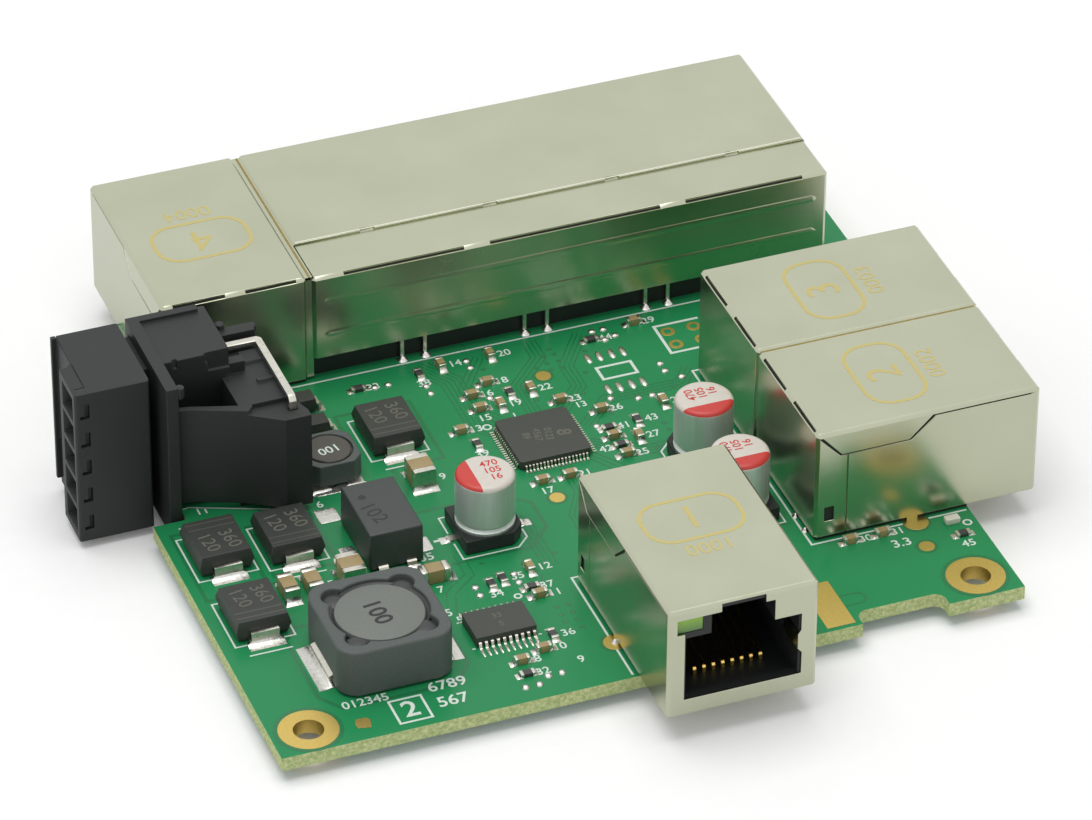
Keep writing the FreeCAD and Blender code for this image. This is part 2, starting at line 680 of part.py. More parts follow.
def make_housing(jack):
    """Moulded block that fills the shield, with a plug cavity for each port."""
    half = jack["width"] / 2 - SHEET - HOUSING_GAP
    front = SHEET + HOUSING_GAP
    rear = JACK_DEPTH - SHEET - HOUSING_GAP
    gang = jack["ports"] > 1
    top = JACK_HEIGHT - SHEET - HOUSING_GAP
    body = box((-half, half), (front, rear), (0, top))
    overhang = face_overhang(jack)
    step = SHIELD_LIFT + SHEET + HOUSING_GAP
    cuts = [box((-half, half), (0, overhang), (-1, step))]
    if gang:
        cover_y = JACK_DEPTH - COVER_LENGTH - COVER_TUCK - BOARD_CLEARANCE
        cuts.append(box((-half, half), (cover_y, JACK_DEPTH), (top - SHEET, top + 1)))
        cuts.append(box((-half, half), (rear - BASE_RECESS, JACK_DEPTH), (-1, COVER_BOTTOM)))
    lamp_x, lamp_z = lamp_span()
    for centre in port_centres(jack):
        outline = [(centre + x, z) for x, z in cavity_outline()]
        cuts.append(slab_xz(outline, 0, CAVITY_DEPTH))
        cuts.append(spring_pocket(centre))
        cuts.append(box((centre + lamp_x[0], centre + lamp_x[1]), (0, LAMP_DEPTH), lamp_z))
    body = without(body, cuts)
    lips = [box((c - CAVITY_HALF, c + CAVITY_HALF), (front, front + LIP_DEPTH),
                (CAVITY_FLOOR - SHEET, PORT_FLOOR)) for c in port_centres(jack)]
    pegs = [rod(x, y, PEG_D, -PEG_TIP, SHEET) for x, y in peg_centres(jack)]
    return joined([body] + lips + pegs)


def make_contacts(jack):
    """Spring wires that rise from the cavity floor to its back wall."""
    strip = CONTACT_STRIP
    y, z = CONTACT_BEND_Y, CONTACT_BEND_Z
    profile = [(y + CONTACT_FOOT, CAVITY_FLOOR), (y, CAVITY_FLOOR), (y, z),
               (CAVITY_DEPTH, CONTACT_END_Z), (CAVITY_DEPTH, CONTACT_END_Z - strip),
               (y + CONTACT_FOOT, z - strip)]
    wires = []
    for centre in port_centres(jack):
        for i in range(CONTACTS):
            x = centre + (i - (CONTACTS - 1) / 2) * CONTACT_PITCH
            wires.append(slab_yz(profile, x - CONTACT_WIDTH / 2, x + CONTACT_WIDTH / 2))
    return Part.makeCompound(wires)


def make_lamps(jack):
    """Clear light guides beside the latch notches."""
    lamp_x, lamp_z = lamp_span()
    c = HOUSING_GAP
    guides = [box((centre + lamp_x[0] + c, centre + lamp_x[1] - c), (SHEET + LAMP_RECESS, LAMP_DEPTH - c),
                  (lamp_z[0] + c, lamp_z[1] - c)) for centre in port_centres(jack)]
    return Part.makeCompound(guides)


def rear_pin_y():
    return JACK_DEPTH - SHEET - BASE_RECESS / 2


def make_rear_pins(jack):
    """Lamp pins of the gang jack, bare between its cover and the board."""
    y = rear_pin_y()
    pins = []
    for centre in port_centres(jack):
        for offset in REAR_PIN_OFFSETS:
            pins.append(block((centre - offset, y), (REAR_PIN, REAR_PIN, COVER_BOTTOM)))
    return Part.makeCompound(pins)


def tail_centres(jack):
    """Soldered tails of one jack, in jack axes."""
    places = []
    for centre in port_centres(jack):
        for from_rear, first in TAIL_ROWS:
            places += [(centre + first + i * TAIL_PITCH, JACK_DEPTH - from_rear)
                       for i in range(TAILS_PER_ROW)]
        if jack["ports"] > 1:
            places += [(centre - offset, rear_pin_y()) for offset in REAR_PIN_OFFSETS]
        else:
            places += [(centre + x, JACK_DEPTH - LAMP_TAIL_FROM_REAR) for x in LAMP_TAILS]
    return places


# -------------------------------------------------------------------- circuit board
def board_outline():
    """Face of the board with its notch, wing and the cut-out for the terminal."""
    notch_right = NOTCH_LEFT + NOTCH_WIDTH
    wing = BOARD_WIDTH + BACK_WING
    gap = BOARD_CLEARANCE
    terminal_x, terminal_y = TERMINAL_AT
    flange_edge = terminal_x + FLANGE_T + gap
    flange_front = terminal_y - FLANGE_WIDTH - gap
    socket_edge = terminal_x + SOCKET_LENGTH + gap
    socket_front = terminal_y - SOCKET_WIDTH - gap
    outline = [
        (0, 0), (NOTCH_LEFT, 0), (NOTCH_LEFT, NOTCH_DEPTH), (notch_right, NOTCH_DEPTH),
        (notch_right, 0), (BOARD_WIDTH, 0), (BOARD_WIDTH, BACK_WING_START),
        (wing, BACK_WING_START), (wing, BOARD_DEPTH), (BACK_LEFT_INSET, BOARD_DEPTH),
        (BACK_LEFT_INSET, terminal_y + gap), (socket_edge, terminal_y + gap),
        (socket_edge, socket_front), (flange_edge, socket_front),
        (flange_edge, flange_front), (0, flange_front),
    ]
    body = prism(outline, -BOARD_THICKNESS, 0)
    corners = [(NOTCH_LEFT, NOTCH_DEPTH), (notch_right, NOTCH_DEPTH)]
    return body.makeFillet(NOTCH_CORNER_R, upright_edges(body, corners))


def board_holes():
    """Round holes for screws and jack pegs, slots for shield legs and supply pins."""
    low, high = -BOARD_THICKNESS - 1, 1
    holes = [rod(x, MOUNT_HOLE_Y, MOUNT_HOLE_D, low, high)
             for x in (MOUNT_HOLE_INSET_X, BOARD_WIDTH - MOUNT_HOLE_INSET_X)]
    for jack in JACKS.values():
        slot = (LEG_SLOT[0], LEG_SLOT[1], high - low)
        drawn = [rod(x, y, PEG_HOLE_D, low, high) for x, y in peg_centres(jack)]
        drawn += [block(centre, slot, low) for centre in leg_centres(jack)]
        holes += [seat_jack(hole, jack) for hole in drawn]
    pin_slot = (PIN_SLOT[0], PIN_SLOT[1], high - low)
    return holes + [seat_terminal(block(pin_drop(i), pin_slot, low)) for i in range(POLES)]


def make_board():
    return board_outline().cut(board_holes())


def make_solder_tails():
    """Soldered ends of the jack pins under the board."""
    cones = []
    for jack in JACKS.values():
        for centre in tail_centres(jack):
            foot, tip = TAIL_SIZE[0] / 2, TAIL_SIZE[1] / 2
            cone = frustum(square_ring(centre, foot, foot, -BOARD_THICKNESS),
                           square_ring(centre, tip, tip, -BOARD_THICKNESS - TAIL_LENGTH))
            cones.append(seat_jack(cone, jack))
    return Part.makeCompound(cones)


# ------------------------------------------------------------ supply terminal header
def pole_level(i):
    return POLE_BOTTOM_Z + i * POLE_PITCH


def terminal_span():
    return pole_level(0) - END_MARGIN, pole_level(POLES - 1) + END_MARGIN


def carrier_top():
    return terminal_span()[1] - CARRIER_DROP


def pin_level(i):
    """Height of a pin behind the socket; the pins are joggled closer together."""
    top = carrier_top() + PIN_RISE
    return PIN_BOTTOM_Z + i * (top - PIN_BOTTOM_Z) / (POLES - 1)


def pin_drop(i):
    """Where a pin goes down through the board, in terminal axes."""
    steps = POLES - 1 - i
    back = 0 if steps == 0 else PIN_DROP_FIRST + (steps - 1) * PIN_DROP_PITCH
    return SOCKET_LENGTH + PIN_LANE - steps * PIN_LANE_PITCH, PIN_DROP_Y + back


def socket_cavity():
    low, high = terminal_span()
    return ((0, SOCKET_LENGTH - SOCKET_FLOOR), (SOCKET_WALL - SOCKET_WIDTH, -SOCKET_WALL),
            (low + SOCKET_WALL, high - RIM - SOCKET_WALL))


def carrier_left():
    return SOCKET_LENGTH - RIM_WIDTH


def pin_ledge():
    """Slanting front of the carrier, where the top pin goes down."""
    left, right = carrier_left(), SOCKET_LENGTH + CARRIER_LENGTH
    front = CARRIER_Y[0] - LEDGE_REACH
    back = CARRIER_Y[0] + FLOOR_T / 4
    flare_x, flare_y = LEDGE_FLARE
    outline = [(left, CARRIER_Y[0] - SCREEN_T), (SOCKET_LENGTH + LEDGE_CORNER, front),
               (right + flare_x, front), (right + flare_x, front + flare_y), (right, back), (left, back)]
    return prism(outline, SCREEN_FOOT, carrier_top() - LEDGE_DROP)


def screen_wall():
    """Thin wall that hides the lower pins, bent in from the flange to the carrier."""
    x0, y0 = FLANGE_T - SINK, SCREEN_ROOT_Y
    knee_x, knee_y = FLANGE_T + SCREEN_KNEE[0], y0 - SCREEN_KNEE[1]
    end_x = carrier_left() + SCREEN_T
    back = CARRIER_Y[0] + SCREEN_T / 2
    outline = [(x0, y0), (knee_x, knee_y), (end_x, SCREEN_END_Y),
               (end_x + SCREEN_T, SCREEN_END_Y + SCREEN_T), (end_x + SCREEN_T, back),
               (end_x - SCREEN_T, back), (knee_x, knee_y + SCREEN_T), (x0, y0 + SCREEN_T)]
    return prism(outline, SCREEN_FOOT, carrier_top())


def header_body():
    """Flange, socket, floor and pin carrier before the cavities are cut."""
    low, high = terminal_span()
    top = carrier_top()
    end = SOCKET_LENGTH
    return [
        box((0, FLANGE_T), (-FLANGE_WIDTH, 0), (low, high)),
        box((0, end), (-SOCKET_WIDTH, 0), (low, high - RIM)),
        box((0, end - RIM_WIDTH), (-RIM_WIDTH, 0), (high - RIM - SINK, high)),
        box((carrier_left(), end + CARRIER_LENGTH), CARRIER_Y, (0, top)),
        box((FLANGE_T - SINK, carrier_left() + SINK), (SCREEN_ROOT_Y + SCREEN_T / 2, SINK - SOCKET_WIDTH),
            (SCREEN_FOOT, SCREEN_FOOT + FLOOR_T)),
        pin_ledge(),
        screen_wall(),
    ]


def header_details():
    """Shelf, step block, pads and nub that stand on the mouldings."""
    high, top = terminal_span()[1], carrier_top()
    end = SOCKET_LENGTH
    start = end - SINK
    shelf_top = top + SHELF_RISE
    shelf_end = end + SHELF_LENGTH
    lane = end + PIN_LANE - PIN_WIDTH / 2
    wall_y = (SHELF_Y[0] - SHELF_WALL_BACK, SHELF_Y[1] - SHELF_WALL_BACK)
    block_y = (STEP_BLOCK_Y, STEP_BLOCK_Y + STEP_BLOCK[1])
    pad_z = (top - SINK, top + PAD_T)
    nub_top = high - RIM / 2
    return [
        box((start, shelf_end), SHELF_Y, (shelf_top - SHELF_T, shelf_top)),
        box((start, shelf_end - SHELF_T / 2), wall_y, (0, shelf_top)),
        rod(end + SHELF_NUB, SHELF_Y[1], NUB_D, shelf_top - SHELF_T, shelf_top + SHELF_T),
        box((start, end + STEP_BLOCK[0]), block_y, (top - SINK, shelf_top)),
        box((end + PAD_START, lane), PAD_Y, pad_z),
        box((end + STOP_START, lane), STOP_Y, pad_z),
        rod(FLANGE_T + NUB_D / 4, NUB_D / 2 - FLANGE_WIDTH, NUB_D, nub_top - NUB_HEIGHT, nub_top),
    ]


def pin_passages():
    """Clear ways for the pins through the socket floor and the ledge."""
    half = PIN_WIDTH / 2 + PIN_SLACK
    thin = PIN_T / 2 + PIN_SLACK
    row = (PIN_ROW_Y - half, PIN_ROW_Y + half)
    start = socket_cavity()[0][1] - SINK
    ways = []
    for i in range(POLES):
        low = min(pole_level(i), pin_level(i)) - thin
        high = max(pole_level(i), pin_level(i)) + thin
        ways.append(box((start, SOCKET_LENGTH + HOLLOW_START + SINK), row, (low, high)))
    x, y = pin_drop(POLES - 1)
    ways.append(box((x - half, x + half), (y - thin, y + thin), (-1, carrier_top() + 1)))
    level = pin_level(POLES - 1)
    run = (SOCKET_LENGTH + HOLLOW_START, SOCKET_LENGTH + CARRIER_LENGTH + 1)
    ways.append(box(run, row, (level - thin, level + 1)))
    return ways


def make_header():
    """Right-angle header: flange, socket, slanting screen and hollow pin carrier."""
    low, high = terminal_span()
    end = SOCKET_LENGTH
    body = joined(header_body() + header_details())
    hollow_end = end + PIN_LANE - PIN_LANE_PITCH + PIN_WIDTH / 2 + PIN_SLACK
    hollow_y = (CARRIER_Y[0] + CARRIER_WALL, PIN_ROW_Y + PIN_WIDTH / 2 + CARRIER_WALL)
    length, depth = SOCKET_SETBACK
    face = -SOCKET_WIDTH
    cuts = [
        box(*socket_cavity()),
        box((end + HOLLOW_START, hollow_end), hollow_y, (-1, carrier_top() - CARRIER_ROOF)),
        box((end - length, end + SINK), (face - SINK, face + depth), (carrier_top() + SHELF_RISE, high)),
    ]
    wide, deep, tall = EAR_SIZE
    for x in EAR_X:
        cuts.append(box((x, x + wide), (face - SINK, face + deep), (high - tall, high)))
    return body.cut(cuts + pin_passages()).removeSplitter()


def make_pin(i):
    """One header pin: blade, joggle, run to the right, turn to the front, drop."""
    x_drop, y_drop = pin_drop(i)
    blade_z, run_z = pole_level(i), pin_level(i)
    half_w, half_t = PIN_WIDTH / 2, PIN_T / 2
    wall = socket_cavity()[0][1]
    bend = wall + SOCKET_FLOOR - PIN_SLACK
    left, right = x_drop - half_w, x_drop + half_w
    front, back = PIN_ROW_Y - half_w, PIN_ROW_Y + half_w
    blade = slab_xz([(PIN_BLADE_START, blade_z - half_t), (wall, blade_z - half_t), (bend, run_z - half_t),
                     (left, run_z - half_t), (left, run_z + half_t), (bend, run_z + half_t),
                     (wall, blade_z + half_t), (PIN_BLADE_START, blade_z + half_t)], front, back)
    corner = prism([(left, front), (right, front), (right, back - half_w), (right - half_w, back),
                    (left, back)], run_z - half_t, run_z + half_t)
    outer = y_drop - half_t
    inner = y_drop + half_t
    drop = slab_yz([(front, run_z + half_t), (inner, run_z + half_t), (outer, run_z - half_t),
                    (outer, -PIN_TIP), (inner, -PIN_TIP), (inner, run_z - half_t),
                    (front, run_z - half_t)], left, right)
    return joined([blade, corner, drop])


def seat_terminal(shape):
    placed = shape.copy()
    placed.translate(Vector(TERMINAL_AT[0], TERMINAL_AT[1], 0))
    return placed


# -------------------------------------------------------------- supply terminal plug
def plug_left():
    return -PLUG_GAP - PLUG_LENGTH


def make_plug():
    """Five-pole wire plug: stepped body, wire funnels and the nose in the socket."""
    low, high = terminal_span()
    right, left = -PLUG_GAP, plug_left()
    front, back = PLUG_Y
    step_x, step_y = PLUG_STEP
    bevel = PLUG_STEP_CHAMFER
    outline = [(left, front), (right, front), (right, back), (left + step_x, back),
               (left + step_x, back - step_y), (left + step_x - bevel, back - step_y - bevel),
               (left, back - step_y - bevel)]
    body = prism(outline, low, high)
    body = body.makeFillet(PLUG_CORNER_R, upright_edges(body, outline[:3]))
    socket_y, socket_z = socket_cavity()[1:]
    gap = NOSE_CLEARANCE
    nose = box((right - SINK, right + NOSE_LENGTH), (socket_y[0] + gap, socket_y[1] - gap),
               (socket_z[0] + gap, socket_z[1] - gap))
    guard = box((left + PLUG_GUARD_SET, left + step_x + SINK), (back - PLUG_GUARD_T, back),
                (pole_level(1), high))
    seam_w, seam_d = SEAM
    seam_x = left + step_x
    seam_y = front + FUNNEL_MARGIN + FUNNEL_MARGIN / 2
    cuts = [box((seam_x, seam_x + seam_w), (seam_y, back + 1), (high - seam_d, high + 1)),
            box((left + PLUG_GUARD_SET, seam_x + seam_w), (seam_y, seam_y + seam_w),
                (high - seam_d, high + 1))]
    for level in [pole_level(i) for i in range(POLES)]:
        cuts += wire_entry(level) + test_slot(level) + [blade_bore(level)]
    return joined([body, nose, guard]).cut(cuts)


def funnel_centre_y():
    return PLUG_Y[0] + FUNNEL_MARGIN + FUNNEL[0] / 2


def wire_entry(z):
    """Tapered mouth and the throat behind it."""
    y, left = funnel_centre_y(), plug_left()
    neck = left + FUNNEL_DEPTH
    rings = []
    for x, (wide, tall) in ((left, FUNNEL), (neck, THROAT)):
        rings.append([Vector(x, y + i * wide / 2, z + j * tall / 2)
                      for i, j in ((-1, -1), (1, -1), (1, 1), (-1, 1))])
    throat = box((neck - SINK, neck + THROAT_DEPTH), (y - THROAT[0] / 2, y + THROAT[0] / 2),
                 (z - THROAT[1] / 2, z + THROAT[1] / 2))
    return [frustum(*rings), throat]


def test_slot(z):
    """L-shaped slot in the front side of the plug."""
    wide, tall, deep = TEST_SLOT
    x = plug_left() + TEST_SLOT_INSET
    depth = (PLUG_Y[0] - 1, PLUG_Y[0] + deep)
    return [box((x, x + wide), depth, (z - tall / 2, z + tall / 2)),
            box((x - TEST_FOOT[0], x + wide), depth, (z - tall / 2, z - tall / 2 + TEST_FOOT[1]))]


def blade_bore(z):
    """Hole in the nose that takes one header blade."""
    half = PIN_WIDTH / 2 + PIN_SLACK
    thin = PIN_T / 2 + PIN_SLACK
    start = min(NOSE_BORE_START, PIN_BLADE_START - PIN_SLACK)
    return box((start, NOSE_LENGTH), (PIN_ROW_Y - half, PIN_ROW_Y + half), (z - thin, z + thin))


def make_clamps():
    """Square clamp sleeves at the bottom of the wire throats."""
    c = CLAMP_CLEARANCE
    x1 = plug_left() + FUNNEL_DEPTH + THROAT_DEPTH - c
    y = funnel_centre_y()
    wide, tall = THROAT[0] / 2 - c, THROAT[1] / 2 - c
    sleeves = []
    for i in range(POLES):
        z = pole_level(i)
        outer = box((x1 - CLAMP_LENGTH, x1), (y - wide, y + wide), (z - tall, z + tall))
        bore_y, bore_z = wide - CLAMP_WALL, tall - CLAMP_WALL
        inner = box((x1 - CLAMP_LENGTH - 1, x1 - CLAMP_WALL), (y - bore_y, y + bore_y),
                    (z - bore_z, z + bore_z))
        sleeves.append(outer.cut(inner))
    return Part.makeCompound(sleeves)


# --------------------------------------------------------------- larger components
def make_can():
    """Drawn aluminium can with a crimp groove, standing on its base."""
    r, z0, z1 = CAN_D / 2, BASE_SEAT, CAN_HEIGHT
    groove = CAN_GROOVE_R
    profile = face_of([
        Vector(0, 0, z0), Vector(r, 0, z0), Vector(r, 0, CAN_GROOVE_Z - groove),
        Vector(r - groove, 0, CAN_GROOVE_Z), Vector(r, 0, CAN_GROOVE_Z + groove),
        Vector(r, 0, z1 - CAN_TOP_EDGE), Vector(r - CAN_TOP_EDGE, 0, z1), Vector(0, 0, z1)])
    return profile.revolve(Vector(0, 0, 0), Vector(0, 0, 1), 360)


def make_can_base():
    h, c = BASE_SIZE / 2, BASE_CHAMFER
    outline = [(-h, -h), (h - c, -h), (h, -h + c), (h, h - c), (h - c, h), (-h, h)]
    lift = CAN_LEAD[1]
    return prism(outline, lift, BASE_HEIGHT).cut(rod(0, 0, CAN_D, BASE_SEAT, BASE_HEIGHT + 1))


def make_can_leads():
    width, thick, reach = CAN_LEAD
    out = BASE_SIZE / 2 + reach
    inner = out - CAN_LEAD_LENGTH
    return [box((side * inner, side * out), (-width / 2, width / 2), (0, thick)) for side in (-1, 1)]


def place_can_part(shape, spot):
    x, y, turn = spot
    placed = turned(shape, (0, 0), turn)
    placed.translate(Vector(x, y, 0))
    return placed


def make_coil_core():
    """Square ferrite ring of the power inductor with corner glue pockets."""
    core = rounded_block(COIL_AT, (COIL_SIZE, COIL_SIZE, COIL_HEIGHT), COIL_CORNER_R, PART_LIFT)
    x, y = COIL_AT
    top = PART_LIFT + COIL_HEIGHT
    bore = rod(x, y, COIL_BORE_D, PART_LIFT + COIL_FLOOR, top + 1)
    reach = COIL_BORE_D / 2 * math.sqrt(0.5)
    lobes = [rod(x + i * reach, y + j * reach, COIL_LOBE_R * 2, top - COIL_LOBE_DEPTH, top + 1)
             for i in (-1, 1) for j in (-1, 1)]
    pads = [block((x + side * COIL_SIZE / 2, y), (COIL_PAD[1], COIL_PAD[0], COIL_PAD_HEIGHT))
            for side in (-1, 1)]
    return core.cut([bore] + lobes + pads)


def make_coil_drum():
    """The wound drum, standing in the ring on its glue."""
    top = PART_LIFT + COIL_HEIGHT - COIL_DRUM_DROP
    drum = rod(COIL_AT[0], COIL_AT[1], COIL_DRUM_D, PART_LIFT + COIL_FLOOR, top)
    rim = [e for e in drum.Edges if len(e.Vertexes) == 1 and e.Vertexes[0].Z > top - SINK]
    return drum.makeChamfer(COIL_DRUM_EDGE, rim)


def make_coil_terminals():
    x, y = COIL_AT
    back, lip = COIL_CLIP_LIP
    out = (COIL_SIZE + COIL_PAD[1]) / 2 - back
    inner = (COIL_SIZE - COIL_PAD[1]) / 2
    foot = inner - COIL_CLIP_UNDER
    profile = [(foot, 0), (out, 0), (out, lip), (inner, COIL_PAD_HEIGHT), (inner, PART_LIFT),
               (foot, PART_LIFT)]
    clips = [slab_xz([(x + side * reach, z) for reach, z in profile],
                     y - COIL_PAD[0] / 2, y + COIL_PAD[0] / 2) for side in (-1, 1)]
    return Part.makeCompound(clips)


def make_small_coil():
    """Chamfered square core of the small inductor and its round winding window."""
    x, y = SMALL_COIL_AT
    h, c = SMALL_COIL_SIZE / 2, SMALL_COIL_CHAMFER
    outline = [(x - h + c, y - h), (x + h - c, y - h), (x + h, y - h + c), (x + h, y + h - c),
               (x + h - c, y + h), (x - h + c, y + h), (x - h, y + h - c), (x - h, y - h + c)]
    top = PART_LIFT + SMALL_COIL_HEIGHT
    ease, depth = SMALL_COIL_DISH
    core = prism(outline, PART_LIFT, top)
    return core.cut(rod(x, y, SMALL_COIL_DISC_D + 2 * ease, top - depth, top + 1))


def make_small_coil_disc():
    top = SMALL_COIL_HEIGHT + PART_LIFT
    return rod(SMALL_COIL_AT[0], SMALL_COIL_AT[1], SMALL_COIL_DISC_D, top - SMALL_COIL_DISH[1], top)


def make_small_coil_terminals():
    x, y = SMALL_COIL_AT
    wide, deep = SMALL_COIL_PAD
    middle = SMALL_COIL_SIZE / 2 + SMALL_COIL_PAD_OUT - deep / 2
    return Part.makeCompound([
        block((x + i * SMALL_COIL_PAD_SPREAD, y + j * middle), (wide, deep, PART_LIFT))
        for i in (-1, 1) for j in (-1, 1)])


def make_choke():
    """Moulded two-winding choke on its side, with notches over the leads."""
    body = rounded_block(CHOKE_AT, CHOKE_SIZE, CHOKE_CORNER, PART_LIFT)
    x, y = CHOKE_AT
    notches = [block((x + i * CHOKE_LEAD_SPREAD, y + j * CHOKE_SIZE[1] / 2), CHOKE_NOTCH, PART_LIFT)
               for i in (-1, 1) for j in (-1, 1)]
    return body.cut(notches)


def make_choke_leads():
    x, y = CHOKE_AT
    edge = CHOKE_SIZE[1] / 2
    out, under = edge + CHOKE_LEAD_OUT, edge - CHOKE_LEAD_UNDER
    root = edge - CHOKE_NOTCH[1] / 2
    top = CHOKE_NOTCH[2] - CHOKE_LEAD_LEAN
    profile = [(under, 0), (out, 0), (out, CHOKE_LEAD_FOOT), (root + CHOKE_LEAD_LEAN, top), (root, top),
               (root, PART_LIFT), (under, PART_LIFT)]
    leads = []
    for i in (-1, 1):
        middle = x + i * CHOKE_LEAD_SPREAD
        for j in (-1, 1):
            outline = [(y + j * reach, z) for reach, z in profile]
            leads.append(slab_yz(outline, middle - CHOKE_LEAD_W / 2, middle + CHOKE_LEAD_W / 2))
    return Part.makeCompound(leads)


def tapered_body(centre, size, lift, part_line, draft):
    """Moulded body, widest at its parting line and drafted above and below."""
    half_x, half_y = size[0] / 2, size[1] / 2
    waist = square_ring(centre, half_x, half_y, part_line)
    halves = [frustum(waist, square_ring(centre, half_x - draft, half_y - draft, level))
              for level in (lift, lift + size[2])]
    return halves[0].fuse(halves[1])


def make_diode_body(centre):
    return tapered_body(centre, DIODE_SIZE, PART_LIFT, PART_LIFT + DIODE_PART_LINE, DIODE_DRAFT)


def folded_leads(centre, size, width, thick, line, out, under):
    """A pair of leads that leave at the parting line and fold under the body."""
    x, y = centre
    pair = []
    for side in (-1, 1):
        edge = y + side * size[1] / 2
        skin = edge + side * out
        outline = [(edge, line + thick / 2), (skin, line + thick / 2), (skin, 0),
                   (edge - side * under, 0), (edge - side * under, thick), (skin - side * thick, thick),
                   (skin - side * thick, line - thick / 2), (edge, line - thick / 2)]
        pair.append(slab_yz(outline, x - width / 2, x + width / 2))
    return pair


def make_diode_leads():
    pairs = []
    for centre in DIODES.values():
        pairs += folded_leads(centre, DIODE_SIZE, DIODE_LEAD_W, DIODE_LEAD_T,
                              PART_LIFT + DIODE_PART_LINE, DIODE_LEAD_OUT, DIODE_LEAD_UNDER)
    return Part.makeCompound(pairs)


def make_rectifiers():
    length, width, height = RECTIFIER_SIZE
    size = (width, length, height)
    wide, thick, out, under = RECTIFIER_LEAD
    bodies = []
    leads = []
    for centre in RECTIFIERS:
        body = tapered_body(centre, size, PART_LIFT, RECTIFIER_PART_LINE, RECTIFIER_DRAFT)
        pair = folded_leads(centre, size, wide, thick, RECTIFIER_PART_LINE, out, under)
        bodies.append(turned(body, centre, 90))
        leads += [turned(lead, centre, 90) for lead in pair]
    return Part.makeCompound(bodies), Part.makeCompound(leads)


# ------------------------------------------------------------------------- the chips
def gull_lead(edge, lift, height, width, along):
    """One gull-wing lead leaving a body face at y = -edge, centred on x = along."""
    t = LEAD_T
    mid = lift + height * LEAD_LEVEL
    knee = edge + LEAD_REACH * LEAD_KNEE
    toe = edge + LEAD_REACH
    outline = [(-edge, mid + t), (-knee, mid + t), (-knee - t, t), (-toe, t), (-toe, 0),
               (-knee, 0), (-knee + t, mid), (-edge, mid)]
    return slab_yz(outline, along - width / 2, along + width / 2)


def chip_leads(centre, half_x, half_y, height, sides, count, pitch, width):
    leads = []
    for turn in sides:
        edge = half_y if turn in (0, 180) else half_x
        for i in range(count):
            lead = gull_lead(edge, CHIP_LIFT, height, width, (i - (count - 1) / 2) * pitch)
            lead.rotate(Vector(0, 0, 0), Vector(0, 0, 1), turn)
            lead.translate(Vector(centre[0], centre[1], 0))
            leads.append(lead)
    return Part.makeCompound(leads)


def make_qfp():
    size = (QFP_SIZE, QFP_SIZE, QFP_HEIGHT)
    body = block(QFP_AT, size, CHIP_LIFT)
    h = QFP_SIZE / 2
    corners = [(QFP_AT[0] + i * h, QFP_AT[1] + j * h) for i in (-1, 1) for j in (-1, 1)]
    body = body.makeChamfer(QFP_CORNER, upright_edges(body, corners))
    leads = chip_leads(QFP_AT, h, h, QFP_HEIGHT, (0, 90, 180, 270),
                       QFP_LEADS_PER_SIDE, QFP_PITCH, QFP_LEAD_W)
    return body, leads


def make_ssop():
    body = block(SSOP_AT, SSOP_SIZE, CHIP_LIFT)
    leads = chip_leads(SSOP_AT, SSOP_SIZE[0] / 2, SSOP_SIZE[1] / 2, SSOP_SIZE[2], (0, 180),
                       SSOP_LEADS_PER_SIDE, SSOP_PITCH, SSOP_LEAD_W)
    return body, leads


# ----------------------------------------------------------------- two-ended small parts
def two_ended(size, spots):
    """Body and metal ends of chip parts that lie flat on the board."""
    length, width, height = size
    end = length * END_SHARE
    bodies, ends = [], []
    for x, y, turn in spots:
        middle = block((x, y), (length - 2 * end, width, height))
        tips = [block((x + side * (length - end) / 2, y), (end, width, height)) for side in (-1, 1)]
        bodies.append(turned(middle, (x, y), 90 * turn))
        ends += [turned(tip, (x, y), 90 * turn) for tip in tips]
    return bodies, ends


def make_ceramics():
    bodies, ends = [], []
    groups = ((SMALL_CERAMIC_SIZE, SMALL_CERAMICS), (LARGE_CERAMIC_SIZE, LARGE_CERAMICS),
              (TALL_CERAMIC_SIZE, TALL_CERAMICS))
    for size, spots in groups:
        more_bodies, more_ends = two_ended(size, spots)
        bodies += more_bodies
        ends += more_ends
    return Part.makeCompound(bodies), Part.makeCompound(ends)


